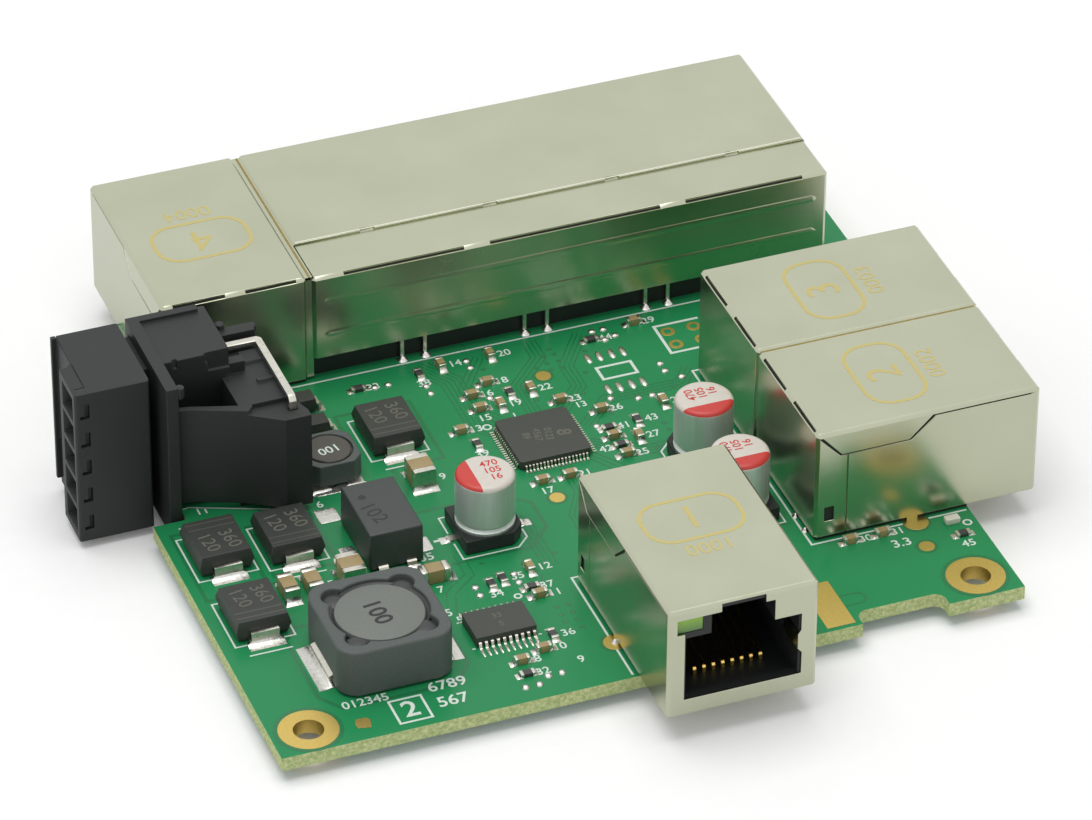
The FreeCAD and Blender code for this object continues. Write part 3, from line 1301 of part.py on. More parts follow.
# ------------------------------------------------------------------------- assembly
def build_pieces():
    """Every piece by node name, in the board's axes."""
    pieces = {"circuit_board": make_board()}
    for name, jack in JACKS.items():
        pieces[name + "_shield"] = seat_jack(make_shield(jack), jack)
        pieces[name + "_housing"] = seat_jack(make_housing(jack), jack)
        pieces[name + "_contacts"] = seat_jack(make_contacts(jack), jack)
        pieces[name + "_light_guide"] = seat_jack(make_lamps(jack), jack)
    gang = JACKS["gang_jack"]
    pieces["gang_jack_rear_cover"] = seat_jack(make_rear_cover(gang), gang)
    pieces["gang_jack_lamp_pins"] = seat_jack(make_rear_pins(gang), gang)
    pieces["jack_solder_tails"] = make_solder_tails()
    pieces["terminal_header"] = seat_terminal(make_header())
    pins = Part.makeCompound([make_pin(i) for i in range(POLES)])
    pieces["terminal_header_pins"] = seat_terminal(pins)
    pieces["terminal_plug"] = seat_terminal(make_plug())
    pieces["terminal_plug_clamps"] = seat_terminal(make_clamps())
    can_leads = []
    for name, spot in CANS.items():
        pieces["capacitor_can_" + name] = place_can_part(make_can(), spot)
        pieces["capacitor_base_" + name] = place_can_part(make_can_base(), spot)
        can_leads += [place_can_part(lead, spot) for lead in make_can_leads()]
    pieces["capacitor_leads"] = Part.makeCompound(can_leads)
    pieces["power_inductor_core"] = make_coil_core()
    pieces["power_inductor_drum"] = make_coil_drum()
    pieces["power_inductor_terminals"] = make_coil_terminals()
    pieces["small_inductor_core"] = make_small_coil()
    pieces["small_inductor_disc"] = make_small_coil_disc()
    pieces["small_inductor_terminals"] = make_small_coil_terminals()
    pieces["choke_body"] = make_choke()
    pieces["choke_leads"] = make_choke_leads()
    for name, centre in DIODES.items():
        pieces["diode_body_" + name] = make_diode_body(centre)
    pieces["diode_leads"] = make_diode_leads()
    pieces["rectifier_bodies"], pieces["rectifier_leads"] = make_rectifiers()
    pieces["switch_chip_body"], pieces["switch_chip_leads"] = make_qfp()
    pieces["regulator_chip_body"], pieces["regulator_chip_leads"] = make_ssop()
    pieces["ceramic_capacitor_bodies"], pieces["ceramic_capacitor_ends"] = make_ceramics()
    bodies, ends = two_ended(RESISTOR_SIZE, RESISTORS)
    pieces["chip_resistor_bodies"] = Part.makeCompound(bodies)
    pieces["chip_resistor_ends"] = Part.makeCompound(ends)
    pieces["indicator_lamp"] = block(INDICATOR_AT, INDICATOR_SIZE)
    return pieces


def place_all(pieces):
    """Move everything so that the origin is at the bottom centre of the part."""
    extent = Part.makeCompound(list(pieces.values())).BoundBox
    shift = Vector(-extent.Center.x, -extent.Center.y, -extent.ZMin)
    for shape in pieces.values():
        shape.translate(shift)
    return shift


def main():
    pieces = build_pieces()
    shift = place_all(pieces)
    os.makedirs("parts", exist_ok=True)
    for name, shape in pieces.items():
        shape.exportStep("parts/" + name + ".step")
    print(len(pieces), "nodes, board frame moved by", [round(v, 4) for v in shift])


main()
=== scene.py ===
import math
import random

import bmesh
import bpy
import numpy as np
from mathutils import Matrix, Vector


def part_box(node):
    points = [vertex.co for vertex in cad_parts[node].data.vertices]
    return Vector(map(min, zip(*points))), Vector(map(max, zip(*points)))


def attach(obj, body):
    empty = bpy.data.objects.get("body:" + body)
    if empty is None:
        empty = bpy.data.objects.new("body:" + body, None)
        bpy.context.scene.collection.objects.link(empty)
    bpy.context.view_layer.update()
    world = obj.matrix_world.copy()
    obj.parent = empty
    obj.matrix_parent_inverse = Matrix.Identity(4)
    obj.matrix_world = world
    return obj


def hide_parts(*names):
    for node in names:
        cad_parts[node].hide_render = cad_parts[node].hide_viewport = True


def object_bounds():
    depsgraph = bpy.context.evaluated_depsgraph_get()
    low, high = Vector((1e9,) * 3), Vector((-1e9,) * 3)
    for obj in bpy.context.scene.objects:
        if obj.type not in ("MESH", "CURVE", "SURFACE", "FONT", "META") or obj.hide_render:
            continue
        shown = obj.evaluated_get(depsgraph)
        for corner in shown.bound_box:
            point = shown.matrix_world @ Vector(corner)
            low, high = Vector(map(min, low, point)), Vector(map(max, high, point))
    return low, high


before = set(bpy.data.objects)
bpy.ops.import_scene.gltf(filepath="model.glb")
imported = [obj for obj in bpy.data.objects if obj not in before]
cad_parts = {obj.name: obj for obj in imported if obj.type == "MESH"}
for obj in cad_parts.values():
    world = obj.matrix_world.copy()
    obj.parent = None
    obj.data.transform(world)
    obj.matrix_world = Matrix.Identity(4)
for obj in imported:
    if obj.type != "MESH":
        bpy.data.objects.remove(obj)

cad_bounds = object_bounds()

# ---------------------------------------------------------------------------------
# Studio: a long-lens camera above the front left corner, a pale paper floor under
# the board and a wide soft box overhead.  All places are measured in millimetres
# from the board's front left corner, z up from its component side.
MM = 0.001
board_low, board_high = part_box("circuit_board")
BOARD_CORNER = Vector((board_low.x, board_low.y, board_high.z))
BOARD_T = (board_high.z - board_low.z) / MM
TO_ROW = Matrix.Translation(BOARD_CORNER) @ Matrix.Scale(MM, 4)

CAMERA_TARGET = (42.82, 39.13, 5.28)
CAMERA_DISTANCE = 688.46
CAMERA_AZIMUTH = -21.10
CAMERA_ELEVATION = 35.78
CAMERA_ROLL = 0.389
FOCAL_LENGTH = 216.8
SENSOR_WIDTH = 36.0
FLOOR_HALF = 4.0              # metres
FLOOR_DROP = 0.05             # a hair under the pegs
PAPER_LIFT = 0.06             # the camera sees the paper as clean white
PAPER_TOOTH = 1.5
SURROUND_FILL = 0.56
SOFT_BOX = {"size": 0.9, "place": (-0.15, 0.1, 1.1), "power": 7.2}
WHITE = (1, 1, 1, 1)


def linear(hex_colour):
    """sRGB hex, as on a colour card, to the linear colour that shaders use."""
    parts = [int(hex_colour[i:i + 2], 16) / 255 for i in (1, 3, 5)]
    low = [c / 12.92 if c <= 0.04045 else ((c + 0.055) / 1.055) ** 2.4 for c in parts]
    return (low[0], low[1], low[2], 1.0)


def add(tree, kind, settings, inputs):
    """One node with its settings; an input is a value or the socket that feeds it."""
    node = tree.nodes.new(kind)
    for key, value in settings.items():
        setattr(node, key, value)
    for key, value in inputs.items():
        if isinstance(value, bpy.types.NodeSocket):
            tree.links.new(value, node.inputs[key])
        else:
            node.inputs[key].default_value = value
    return node


def reckon(tree, operation, *values):
    """One sum that the shader works out."""
    return add(tree, "ShaderNodeMath", {"operation": operation}, dict(enumerate(values))).outputs[0]


def grains(tree, size, squash=None, **more):
    """Noise over the object, in grains so many millimetres across, longer where squashed."""
    place = add(tree, "ShaderNodeTexCoord", {}, {}).outputs["Object"]
    if squash:
        place = add(tree, "ShaderNodeMapping", {}, {"Vector": place, "Scale": squash}).outputs[0]
    noise = add(tree, "ShaderNodeTexNoise", {}, {"Vector": place, "Scale": 1 / (size * MM), **more})
    return noise.outputs["Fac"]


def tones(tree, share, dark, light):
    """A colour that wanders between two colour-card tones."""
    mix = add(tree, "ShaderNodeMix", {"data_type": "RGBA"},
              {"Factor": share, "A": linear(dark), "B": linear(light)})
    return mix.outputs["Result"]


def new_material(name):
    """An empty material and its tree."""
    material = bpy.data.materials.new(name)
    material.use_nodes = True
    material.node_tree.nodes.clear()
    return material, material.node_tree


def turned(degrees):
    """A turn about the upright axis."""
    return Matrix.Rotation(math.radians(degrees), 4, "Z")


def set_out(name, data):
    """Set a mesh, line of type, lamp or camera out in the studio."""
    thing = bpy.data.objects.new(name, data)
    bpy.context.scene.collection.objects.link(thing)
    return thing


camera_data = bpy.data.cameras.new("studio_camera")
camera_data.lens = FOCAL_LENGTH
camera_data.sensor_fit = "HORIZONTAL"
camera_data.sensor_width = SENSOR_WIDTH
camera_data.clip_start = 0.01
camera_data.clip_end = 20.0
camera = set_out("studio_camera", camera_data)
tilt = Matrix.Rotation(math.radians(90 - CAMERA_ELEVATION), 4, "X")
aim = turned(CAMERA_AZIMUTH) @ tilt @ turned(CAMERA_ROLL)
eye = TO_ROW @ Vector(CAMERA_TARGET) + aim.col[2].xyz * CAMERA_DISTANCE * MM
camera.matrix_world = Matrix.Translation(eye) @ aim
bpy.context.scene.camera = camera
bpy.context.scene.view_settings.view_transform = "Standard"

# An even white surround: full white where it is seen or mirrored, softer as a fill.
world = bpy.data.worlds.new("studio_surround")
bpy.context.scene.world = world
world.use_nodes = True
world.node_tree.nodes.clear()
tree = world.node_tree
ray = add(tree, "ShaderNodeLightPath", {}, {}).outputs
seen = reckon(tree, "MAXIMUM", ray["Is Camera Ray"], ray["Is Glossy Ray"])
seen = reckon(tree, "MAXIMUM", seen, ray["Is Transmission Ray"])
fill = add(tree, "ShaderNodeBackground", {}, {"Color": WHITE, "Strength": SURROUND_FILL})
shown = add(tree, "ShaderNodeBackground", {}, {"Color": WHITE, "Strength": 1.0})
both = add(tree, "ShaderNodeMixShader", {}, {0: seen, 1: fill.outputs[0], 2: shown.outputs[0]})
add(tree, "ShaderNodeOutputWorld", {}, {"Surface": both.outputs[0]})

# Matt white with a faint tooth; it keeps the board's shadow.
paper, tree = new_material("white_paper_sheet")
ray = add(tree, "ShaderNodeLightPath", {}, {}).outputs
lift = reckon(tree, "MULTIPLY", ray["Is Camera Ray"], PAPER_LIFT)
tone = tones(tree, grains(tree, PAPER_TOOTH), "#F8F8F8", "#FCFCFC")
skin = add(tree, "ShaderNodeBsdfDiffuse", {}, {"Color": tone, "Roughness": 0.5})
glow = add(tree, "ShaderNodeEmission", {}, {"Color": WHITE, "Strength": lift})
both = add(tree, "ShaderNodeAddShader", {}, {0: skin.outputs[0], 1: glow.outputs[0]})
add(tree, "ShaderNodeOutputMaterial", {}, {"Surface": both.outputs[0]})
floor_z = cad_bounds[0][2] - FLOOR_DROP * MM
floor_mesh = bpy.data.meshes.new("paper_floor")
corners = [(i * FLOOR_HALF, j * FLOOR_HALF, floor_z) for i, j in ((-1, -1), (1, -1), (1, 1), (-1, 1))]
floor_mesh.from_pydata(corners, [], [(0, 1, 2, 3)])
floor_mesh.materials.append(paper)
floor = set_out("paper_floor", floor_mesh)

lamp_data = bpy.data.lights.new("overhead_soft_box", "AREA")
lamp_data.shape = "SQUARE"
lamp_data.size = SOFT_BOX["size"]
lamp_data.energy = SOFT_BOX["power"]
set_out("overhead_soft_box", lamp_data).location = SOFT_BOX["place"]

# ---------------------------------------------------------------------------------
# Circuit board: 1.6 mm glass-epoxy laminate under glossy green solder mask.  The
# mask is lighter over copper; the routed edges show pale resin and glass fibre.
MASK_GREEN = ("#1F8450", "#2A9058")
MASK_PATCH = 22.0
LAMINATE = ("#9DB074", "#D3D9A2")
FIBRE_SIZE = 0.35


def span(tree, share, low, high):
    """A number that wanders between two numbers."""
    return add(tree, "ShaderNodeMapRange", {}, {"Value": share, "To Min": low, "To Max": high}).outputs[0]


def surface(tree, inputs):
    """Finish a material with one surface shader."""
    skin = add(tree, "ShaderNodeBsdfPrincipled", {}, inputs)
    add(tree, "ShaderNodeOutputMaterial", {}, {"Surface": skin.outputs[0]})


# Wet-looking green on the flat faces, dry speckled resin on the cut edges.
solder_mask, tree = new_material("solder_mask_on_glass_epoxy")
green = tones(tree, grains(tree, MASK_PATCH, Detail=3.0), *MASK_GREEN)
fibre = grains(tree, FIBRE_SIZE, Detail=4.0, Roughness=0.7)
weave = add(tree, "ShaderNodeMapRange", {}, {"Value": fibre, "From Min": 0.38, "From Max": 0.66})
resin = tones(tree, weave.outputs[0], *LAMINATE)
facing = add(tree, "ShaderNodeNewGeometry", {}, {}).outputs["Normal"]
facing = add(tree, "ShaderNodeSeparateXYZ", {}, {0: facing}).outputs["Z"]
flat = reckon(tree, "GREATER_THAN", reckon(tree, "ABSOLUTE", facing), 0.5)
colour = add(tree, "ShaderNodeMix", {"data_type": "RGBA"}, {"Factor": flat, "A": resin, "B": green})
grit = add(tree, "ShaderNodeBump", {}, {"Height": fibre, "Strength": 0.25, "Distance": 0.05 * MM})
surface(tree, {"Base Color": colour.outputs["Result"], "Roughness": span(tree, flat, 0.75, 0.26),
               "IOR": 1.5, "Specular IOR Level": 0.25, "Normal": grit.outputs[0]})


def dress(node, material):
    """Give a CAD node its finished material."""
    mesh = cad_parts[node].data
    mesh.materials.clear()
    mesh.materials.append(material)


dress("circuit_board", solder_mask)

# ---------------------------------------------------------------------------------
# Outer copper: gaps etched between tracks show as darker lines under the mask, and
# tented vias as small dimpled dots.  Both are thin films laid on the board's face.
FILM = 0.012
TRACK_STEP = 0.0005   # each bus lies that much higher, so crossing lines share no plane
POUR_FILM = 0.007
GAP_WIDTH = 0.14
POUR_GAP = 0.42
UNDERSIDE_GAP = 0.196
UNDERSIDE_POUR_GAP = 0.224
BUSES = (     # first track's corners, number of tracks, spacing
    (((38.2, 43.6), (36.6, 45.4), (36.6, 54.0), (34.2, 57.6)), 6, 0.5),
    (((40.0, 45.6), (38.0, 48.2), (38.0, 52.6), (41.6, 57.8)), 3, 0.55),
    (((43.4, 45.6), (43.4, 51.4), (47.4, 55.6), (47.4, 58.4)), 4, 0.5),
    (((46.2, 45.6), (49.6, 49.2), (49.6, 53.0), (53.2, 58.2)), 4, 0.5),
    (((48.0, 42.4), (52.0, 46.4), (60.4, 46.4), (62.0, 48.4)), 4, 0.5),
    (((48.0, 39.6), (53.4, 36.4), (61.6, 36.4)), 4, 0.5),
    (((38.0, 38.2), (34.8, 36.6), (34.8, 31.4), (37.0, 28.4), (37.0, 20.4)), 4, 0.5),
    (((44.6, 35.6), (44.6, 31.0), (42.6, 27.4), (42.6, 19.0)), 4, 0.5),
    (((47.6, 37.0), (51.4, 31.4), (51.4, 19.2)), 3, 0.6),
    (((29.2, 15.2), (33.0, 17.4), (33.6, 19.6)), 3, 0.6),
    (((23.6, 16.6), (24.6, 19.8), (27.4, 22.0), (27.4, 25.4)), 2, 0.9),
)
POURS = (     # boundaries of copper areas
    ((6.6, 8.0), (6.6, 17.8), (8.2, 19.6), (20.8, 19.6), (22.6, 17.4), (22.6, 8.0), (20.4, 5.4),
     (8.4, 5.4)),
    ((1.2, 26.8), (1.2, 38.6), (8.0, 38.6), (8.0, 26.8)),
    ((9.0, 28.4), (16.0, 28.4), (16.0, 37.4), (9.0, 37.4)),
    ((17.4, 35.6), (25.4, 35.6), (26.6, 37.0), (26.6, 41.8), (32.4, 41.8), (32.4, 52.6), (24.0, 52.6),
     (24.0, 46.8), (17.4, 46.8)),
    ((24.6, 24.0), (35.6, 24.0), (38.2, 26.8), (38.2, 31.2), (35.0, 33.6), (25.8, 33.6)),
    ((54.0, 18.6), (61.6, 18.6), (61.6, 35.6), (54.0, 35.6)),
)
UNDERSIDE_BUSES = (
    (((37.0, 41.0), (30.0, 48.0), (30.0, 54.0), (24.0, 60.0), (17.0, 66.0)), 6, 0.6),
    (((43.0, 46.0), (43.0, 55.0), (36.0, 62.0), (34.0, 68.0)), 5, 0.6),
    (((48.0, 44.0), (56.0, 52.0), (56.0, 60.0), (62.0, 66.0)), 6, 0.6),
    (((48.0, 38.0), (58.0, 38.0), (64.0, 32.0), (68.0, 26.0)), 5, 0.6),
    (((44.0, 35.0), (44.0, 26.0), (48.0, 22.0), (48.0, 15.0)), 5, 0.6),
    (((36.0, 38.0), (28.0, 38.0), (22.0, 44.0), (12.0, 44.0)), 3, 0.9),
    (((24.0, 12.0), (30.0, 18.0), (38.0, 18.0)), 3, 0.8),
)
UNDERSIDE_POURS = 5   # the first so many areas come again below, moved a little
UNDERSIDE_SHIFT = (1.6, 2.0)
VIA_SIZE = (0.62, 0.62, 1.0)
VIA_DIMPLE = ((0.5, 0.0), (0.46, 0.022), (0.34, 0.03), (0.26, 0.014), (0, 0.008))
VIA_EVERY = 3.2       # one beside so many millimetres of bus
VIA_PITCH = 1.3
VIA_ARRAYS = ((34.2, 9.6, 2, 4), (56.4, 38.2, 3, 2), (48.6, 52.6, 2, 3))     # corner, columns, rows


def offset_line(path, shift, closed=False):
    """The path moved sideways by shift, with its corners mitred."""
    points = [Vector(p) for p in path]
    count = len(points)
    moved = []
    for i, point in enumerate(points):
        normals = []
        for a, b in ((i - 1, i), (i, i + 1)):
            if closed or (a >= 0 and b < count):
                along = (points[b % count] - points[a]).normalized()
                normals.append(Vector((-along.y, along.x)))
        mean = (normals[0] + normals[-1]).normalized()
        moved.append(point + mean * shift / max(mean.dot(normals[0]), 0.4))
    return moved


def lay_line(bm, path, width, z, closed=False, finish=0):
    """A flat ink or foil line along a path of (x, y) points."""
    left, right_side = ([bm.verts.new((p.x, p.y, z)) for p in offset_line(path, side * width / 2, closed)]
                        for side in (1, -1))
    for i in range(len(path) if closed else len(path) - 1):
        j = (i + 1) % len(path)
        bm.faces.new((left[i], right_side[i], right_side[j], left[j])).material_index = finish


def finish_piece(name, bm, materials, replaced=(), smooth=0):
    """Turn a mesh drawn in board millimetres into a finished piece of the part."""
    mesh = bpy.data.meshes.new(name)
    bm.to_mesh(mesh)
    bm.free()
    mesh.transform(TO_ROW)
    place_mesh(name, mesh, materials, replaced, smooth)


def place_mesh(name, mesh, materials, replaced=(), smooth=0):
    """Put a mesh that is already in the row frame into the part."""
    if mesh.materials:     # clearing an empty list would still reset the faces' finishes
        mesh.materials.clear()
    for material in materials:
        mesh.materials.append(material)
    if smooth:
        mesh.shade_smooth()
        mesh.set_sharp_from_angle(angle=math.radians(smooth))
    piece = set_out(name, mesh)
    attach(piece, "root")
    if replaced:
        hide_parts(*replaced)


def grained(name, dark, light, grain, roughness, bump=0.0, metallic=0.0, **more):
    """A finish that wanders between two tones, and two polishes, over grains in mm."""
    material, tree = new_material(name)
    grit = grains(tree, grain, Detail=4.0, Roughness=0.6)
    inputs = {"Base Color": tones(tree, grit, dark, light), "Metallic": metallic,
              "Roughness": span(tree, grit, *roughness), **more}
    if bump:
        press = add(tree, "ShaderNodeBump", {},
                    {"Height": grit, "Strength": bump, "Distance": grain / 8 * MM})
        inputs["Normal"] = press.outputs[0]
    surface(tree, inputs)
    return material


# Mask over bare laminate looks a shade darker than over copper.
etched_mask = grained("solder_mask_over_bare_laminate", "#1A7041", "#207A4A", 5.0, (0.24, 0.32), IOR=1.5)

bm = bmesh.new()
for level, (path, tracks, spacing) in enumerate(BUSES):
    for i in range(tracks):
        lay_line(bm, offset_line(path, -i * spacing), GAP_WIDTH, FILM + level * TRACK_STEP)
for outline in POURS:
    lay_line(bm, outline, POUR_GAP, POUR_FILM, closed=True)
finish_piece("etched_gaps", bm, [etched_mask])

# Geometry Nodes tree that stands one small shape on every point of a mesh, turned
# and sized by the point's own attributes.
scatter = bpy.data.node_groups.new("stand_on_points", "GeometryNodeTree")
scatter.interface.new_socket("Places", in_out="INPUT", socket_type="NodeSocketGeometry")
shape_socket = scatter.interface.new_socket("Shape", in_out="INPUT", socket_type="NodeSocketObject")
finish_socket = scatter.interface.new_socket("Finish", in_out="INPUT", socket_type="NodeSocketMaterial")
scatter.interface.new_socket("Pieces", in_out="OUTPUT", socket_type="NodeSocketGeometry")
entry = add(scatter, "NodeGroupInput", {}, {})
shape_info = add(scatter, "GeometryNodeObjectInfo", {}, {"Object": entry.outputs["Shape"]})
turn = add(scatter, "GeometryNodeInputNamedAttribute", {"data_type": "FLOAT_VECTOR"}, {"Name": "turn"})
size = add(scatter, "GeometryNodeInputNamedAttribute", {"data_type": "FLOAT_VECTOR"}, {"Name": "size"})
spin = add(scatter, "FunctionNodeEulerToRotation", {}, {0: turn.outputs["Attribute"]})
stood = add(scatter, "GeometryNodeInstanceOnPoints", {},
            {"Points": entry.outputs["Places"], "Instance": shape_info.outputs["Geometry"],
             "Rotation": spin.outputs[0], "Scale": size.outputs["Attribute"]})
whole = add(scatter, "GeometryNodeRealizeInstances", {}, {"Geometry": stood.outputs[0]})
painted = add(scatter, "GeometryNodeSetMaterial", {},
              {"Geometry": whole.outputs[0], "Material": entry.outputs["Finish"]})
add(scatter, "NodeGroupOutput", {}, {0: painted.outputs[0]})


def baked(thing):
    """The mesh that an object shows, with its modifiers or its type worked in."""
    graph = bpy.context.evaluated_depsgraph_get()
    return bpy.data.meshes.new_from_object(thing.evaluated_get(graph))


def repeat(name, shape, places, material, replaced=(), smooth=30):
    """Stand a shape on places given as (x, y, z, turn in degrees, (size x, y, z))."""
    shape_mesh = bpy.data.meshes.new(name + "_shape")
    shape.to_mesh(shape_mesh)
    shape.free()
    shape_object = set_out(name + "_shape", shape_mesh)
    points = bpy.data.meshes.new(name + "_places")
    points.from_pydata([p[:3] for p in places], [], [])
    turns = points.attributes.new("turn", "FLOAT_VECTOR", "POINT")
    sizes = points.attributes.new("size", "FLOAT_VECTOR", "POINT")
    for i, p in enumerate(places):
        turns.data[i].vector = (0, 0, math.radians(p[3]))
        sizes.data[i].vector = p[4]
    carrier = set_out(name + "_places", points)
    modifier = carrier.modifiers.new("stand_on_points", "NODES")
    modifier.node_group = scatter
    modifier[shape_socket.identifier] = shape_object
    modifier[finish_socket.identifier] = material
    mesh = baked(carrier)
    carrier.modifiers.remove(modifier)
    for used in (carrier, shape_object):
        bpy.data.objects.remove(used)
    mesh.name = name
    mesh.transform(TO_ROW)
    place_mesh(name, mesh, [material], replaced, smooth)


def ring_points(x, y, radius, count=32):
    """Points round a circle."""
    angles = [2 * math.pi * i / count for i in range(count)]
    return [(x + radius * math.cos(a), y + radius * math.sin(a)) for a in angles]


def lathe(bm, profile, segments=24, centre=(0, 0)):
    """Turn a profile of (radius, height) points about an upright axis."""
    rings = []
    for radius, height in profile:
        spots = ring_points(*centre, radius, segments) if radius else [centre]
        rings.append([bm.verts.new((*spot, height)) for spot in spots])
    for low, high in zip(rings, rings[1:]):
        for i in range(segments):
            j = (i + 1) % segments
            corners = (low[i % len(low)], low[j % len(low)], high[j % len(high)], high[i % len(high)])
            unique = list(dict.fromkeys(corners))
            if len(unique) > 2:
                bm.faces.new(unique)
    return bm


random.seed(11)
vias = []
for path, tracks, spacing in BUSES:
    ends = offset_line(path, -spacing * tracks / 2)
    for a, b in zip(ends, ends[1:]):
        steps = int((b - a).length // VIA_EVERY)
        for i in range(steps):
            spot = a.lerp(b, (i + 0.5) / steps)
            vias.append((spot.x + random.uniform(0.8, 1.5), spot.y + random.uniform(-0.6, 0.6)))
for x0, y0, columns, rows in VIA_ARRAYS:
    vias += [(x0 + i * VIA_PITCH, y0 + j * VIA_PITCH) for i in range(columns) for j in range(rows)]
via = lathe(bmesh.new(), VIA_DIMPLE, 12)
repeat("tented_vias", via, [(x, y, 0, 0, VIA_SIZE) for x, y in vias], etched_mask)

# The underside carries the same kind of tracks, drawn facing down.
bm = bmesh.new()
for path, tracks, spacing in UNDERSIDE_BUSES:
    for i in range(tracks):
        lay_line(bm, offset_line(path, -i * spacing), UNDERSIDE_GAP, -BOARD_T - FILM)
for outline in POURS[:UNDERSIDE_POURS]:
    moved = [(x + UNDERSIDE_SHIFT[0], y + UNDERSIDE_SHIFT[1]) for x, y in outline]
    lay_line(bm, moved, UNDERSIDE_POUR_GAP, -BOARD_T - POUR_FILM, closed=True)
bmesh.ops.reverse_faces(bm, faces=bm.faces[:])
finish_piece("underside_etched_gaps", bm, [etched_mask])
via = lathe(bmesh.new(), [(radius, -height) for radius, height in VIA_DIMPLE], 12)
bmesh.ops.reverse_faces(via, faces=via.faces[:])
repeat("underside_vias", via, [(x, y, -BOARD_T, 0, VIA_SIZE) for x, y in vias], etched_mask)

# ---------------------------------------------------------------------------------
# Bare lands: gold over nickel on copper, round the two screw holes, on the test
# points, the jack legs, the front edge contact and the holes of an unused header.
HOLES = ((4.0, 3.45), (76.4, 3.45))
HOLE_R = 1.6
HOLE_LAND_R = 3.1
MASK_GAP = 0.45
PLATING_T = 0.02
LAND_Z = FILM * 2
ROUND_LANDS = ((73.7, 9.8, 0.85), (41.0, 31.0, 0.85), (47.4, 51.9, 0.85), (74.3, 14.0, 1.35),
               (37.7, 6.0, 1.25))     # centre, radius
EDGE_CONTACT = ((58.7, 0.5), (61.8, 0.5), (61.8, 7.9), (58.7, 7.9))
CORNER_MARK = ((8.7, 1.9), (10.0, 1.6), (10.3, 2.9), (9.9, 3.3), (8.9, 3.3), (8.6, 2.6))
CONTACT_GAP = ((61.9, 5.1), (63.9, 5.1), (64.4, 4.6), (64.4, 3.9), (63.9, 3.4), (61.9, 3.4))
HEADER_HOLES = ((62.9, 52.4), (62.9, 54.9), (65.9, 52.4), (65.9, 54.9))
HEADER_HOLE = ((0.8, 0.0), (0.78, LAND_Z), (0.42, LAND_Z), (0.4, -0.4), (0, -0.4))

# Soft yellow gleam, slightly uneven like dipped gold.
gold_land = grained("immersion_gold_on_copper", "#C3A552", "#DBC478", 0.25, (0.3, 0.46), metallic=1.0)


def lay_area(bm, outline, z):
    """A flat filled shape; its outline runs anticlockwise."""
    bm.faces.new([bm.verts.new((x, y, z)) for x, y in outline])


def ring(bm, x, y, inner, outer, z, finish=0, count=40):
    """A flat ring of film."""
    a, b = ([bm.verts.new((*spot, z)) for spot in ring_points(x, y, radius, count)]
            for radius in (inner, outer))
    for i in range(count):
        j = (i + 1) % count
        bm.faces.new((a[i], b[i], b[j], a[j])).material_index = finish


bm = bmesh.new()
for x, y in HOLES:
    ring(bm, x, y, HOLE_LAND_R, HOLE_LAND_R + MASK_GAP, FILM, finish=1)
    lathe(bm, [(HOLE_LAND_R, 0.0), (HOLE_LAND_R, LAND_Z), (HOLE_R - PLATING_T, LAND_Z),
               (HOLE_R - PLATING_T, -BOARD_T - LAND_Z), (HOLE_LAND_R, -BOARD_T - LAND_Z),
               (HOLE_LAND_R, -BOARD_T)], 40, (x, y))
for x, y, r in ROUND_LANDS:
    ring(bm, x, y, r, r + MASK_GAP * 0.7, FILM, finish=1)
    lathe(bm, [(r, 0.0), (r - 0.02, LAND_Z), (0, LAND_Z)], 28, (x, y))
lay_area(bm, EDGE_CONTACT, LAND_Z)
lay_area(bm, CORNER_MARK, LAND_Z)
lay_line(bm, CONTACT_GAP, 0.2, FILM, finish=1)
for centre in HEADER_HOLES:
    lathe(bm, HEADER_HOLE, 20, centre)
finish_piece("gold_lands", bm, [gold_land, etched_mask], smooth=40)

# ---------------------------------------------------------------------------------
# Silk screen: matt white epoxy ink in 0.2 mm lines round every component, with
# plain position numbers beside the small parts.
INK_Z = FILM * 1.8
INK_WIDTH = 0.2
JACK_INK = 0.24
HEAVY_INK = 0.34
JACK_LINE = 0.65                # clearance round a jack
INK_LIMIT = (0.4, 80.1)         # lines stop short of the board's front and right edges
REAR_STOP = 76.6
EDGE_LAND_GAP = (72.9, 75.8)    # opening in the right jack's front line
DIODE_CLEAR = (0.25, 0.35)
DIODE_MOUTH = 1.9               # half the opening that its leads leave by
DIODE_BAR = (2.3, 2.15)         # half length, clearance
CAPACITOR_LINE = (3.75, 1.4)    # half size and corner of an outline
CAPACITOR_PAD_GAP = 0.9
PIN_ONE_RINGS = ((38.5, 45.2, 0.42), (31.2, 16.6, 0.35), (79.3, 12.1, 0.42))
FIRST_NUMBER = 4
NUMBER_HEIGHT = 1.1
NUMBER_HALF = (0.75, 0.5)
NUMBER_REACH = (1.25, 1.15)
NUMBER_FIELD = (79, 58)
FREE_LINES = (     # path, width, whether it closes
    (((3.8, 42.6), (4.5, 42.7), (12.6, 39.4)), INK_WIDTH, False),
    (((26.3, 28.25), (27.9, 28.25)), 0.36, False),
    (((12.9, 1.1), (16.3, 1.1), (16.3, 4.8), (12.9, 4.8)), 0.26, True),
    (((53.2, 49.0), (57.1, 49.0), (57.1, 51.2), (53.2, 51.2)), HEAVY_INK, True),
    (((66.9, 56.2), (61.8, 56.2), (61.8, 51.0), (66.9, 51.0)), HEAVY_INK, False),
)
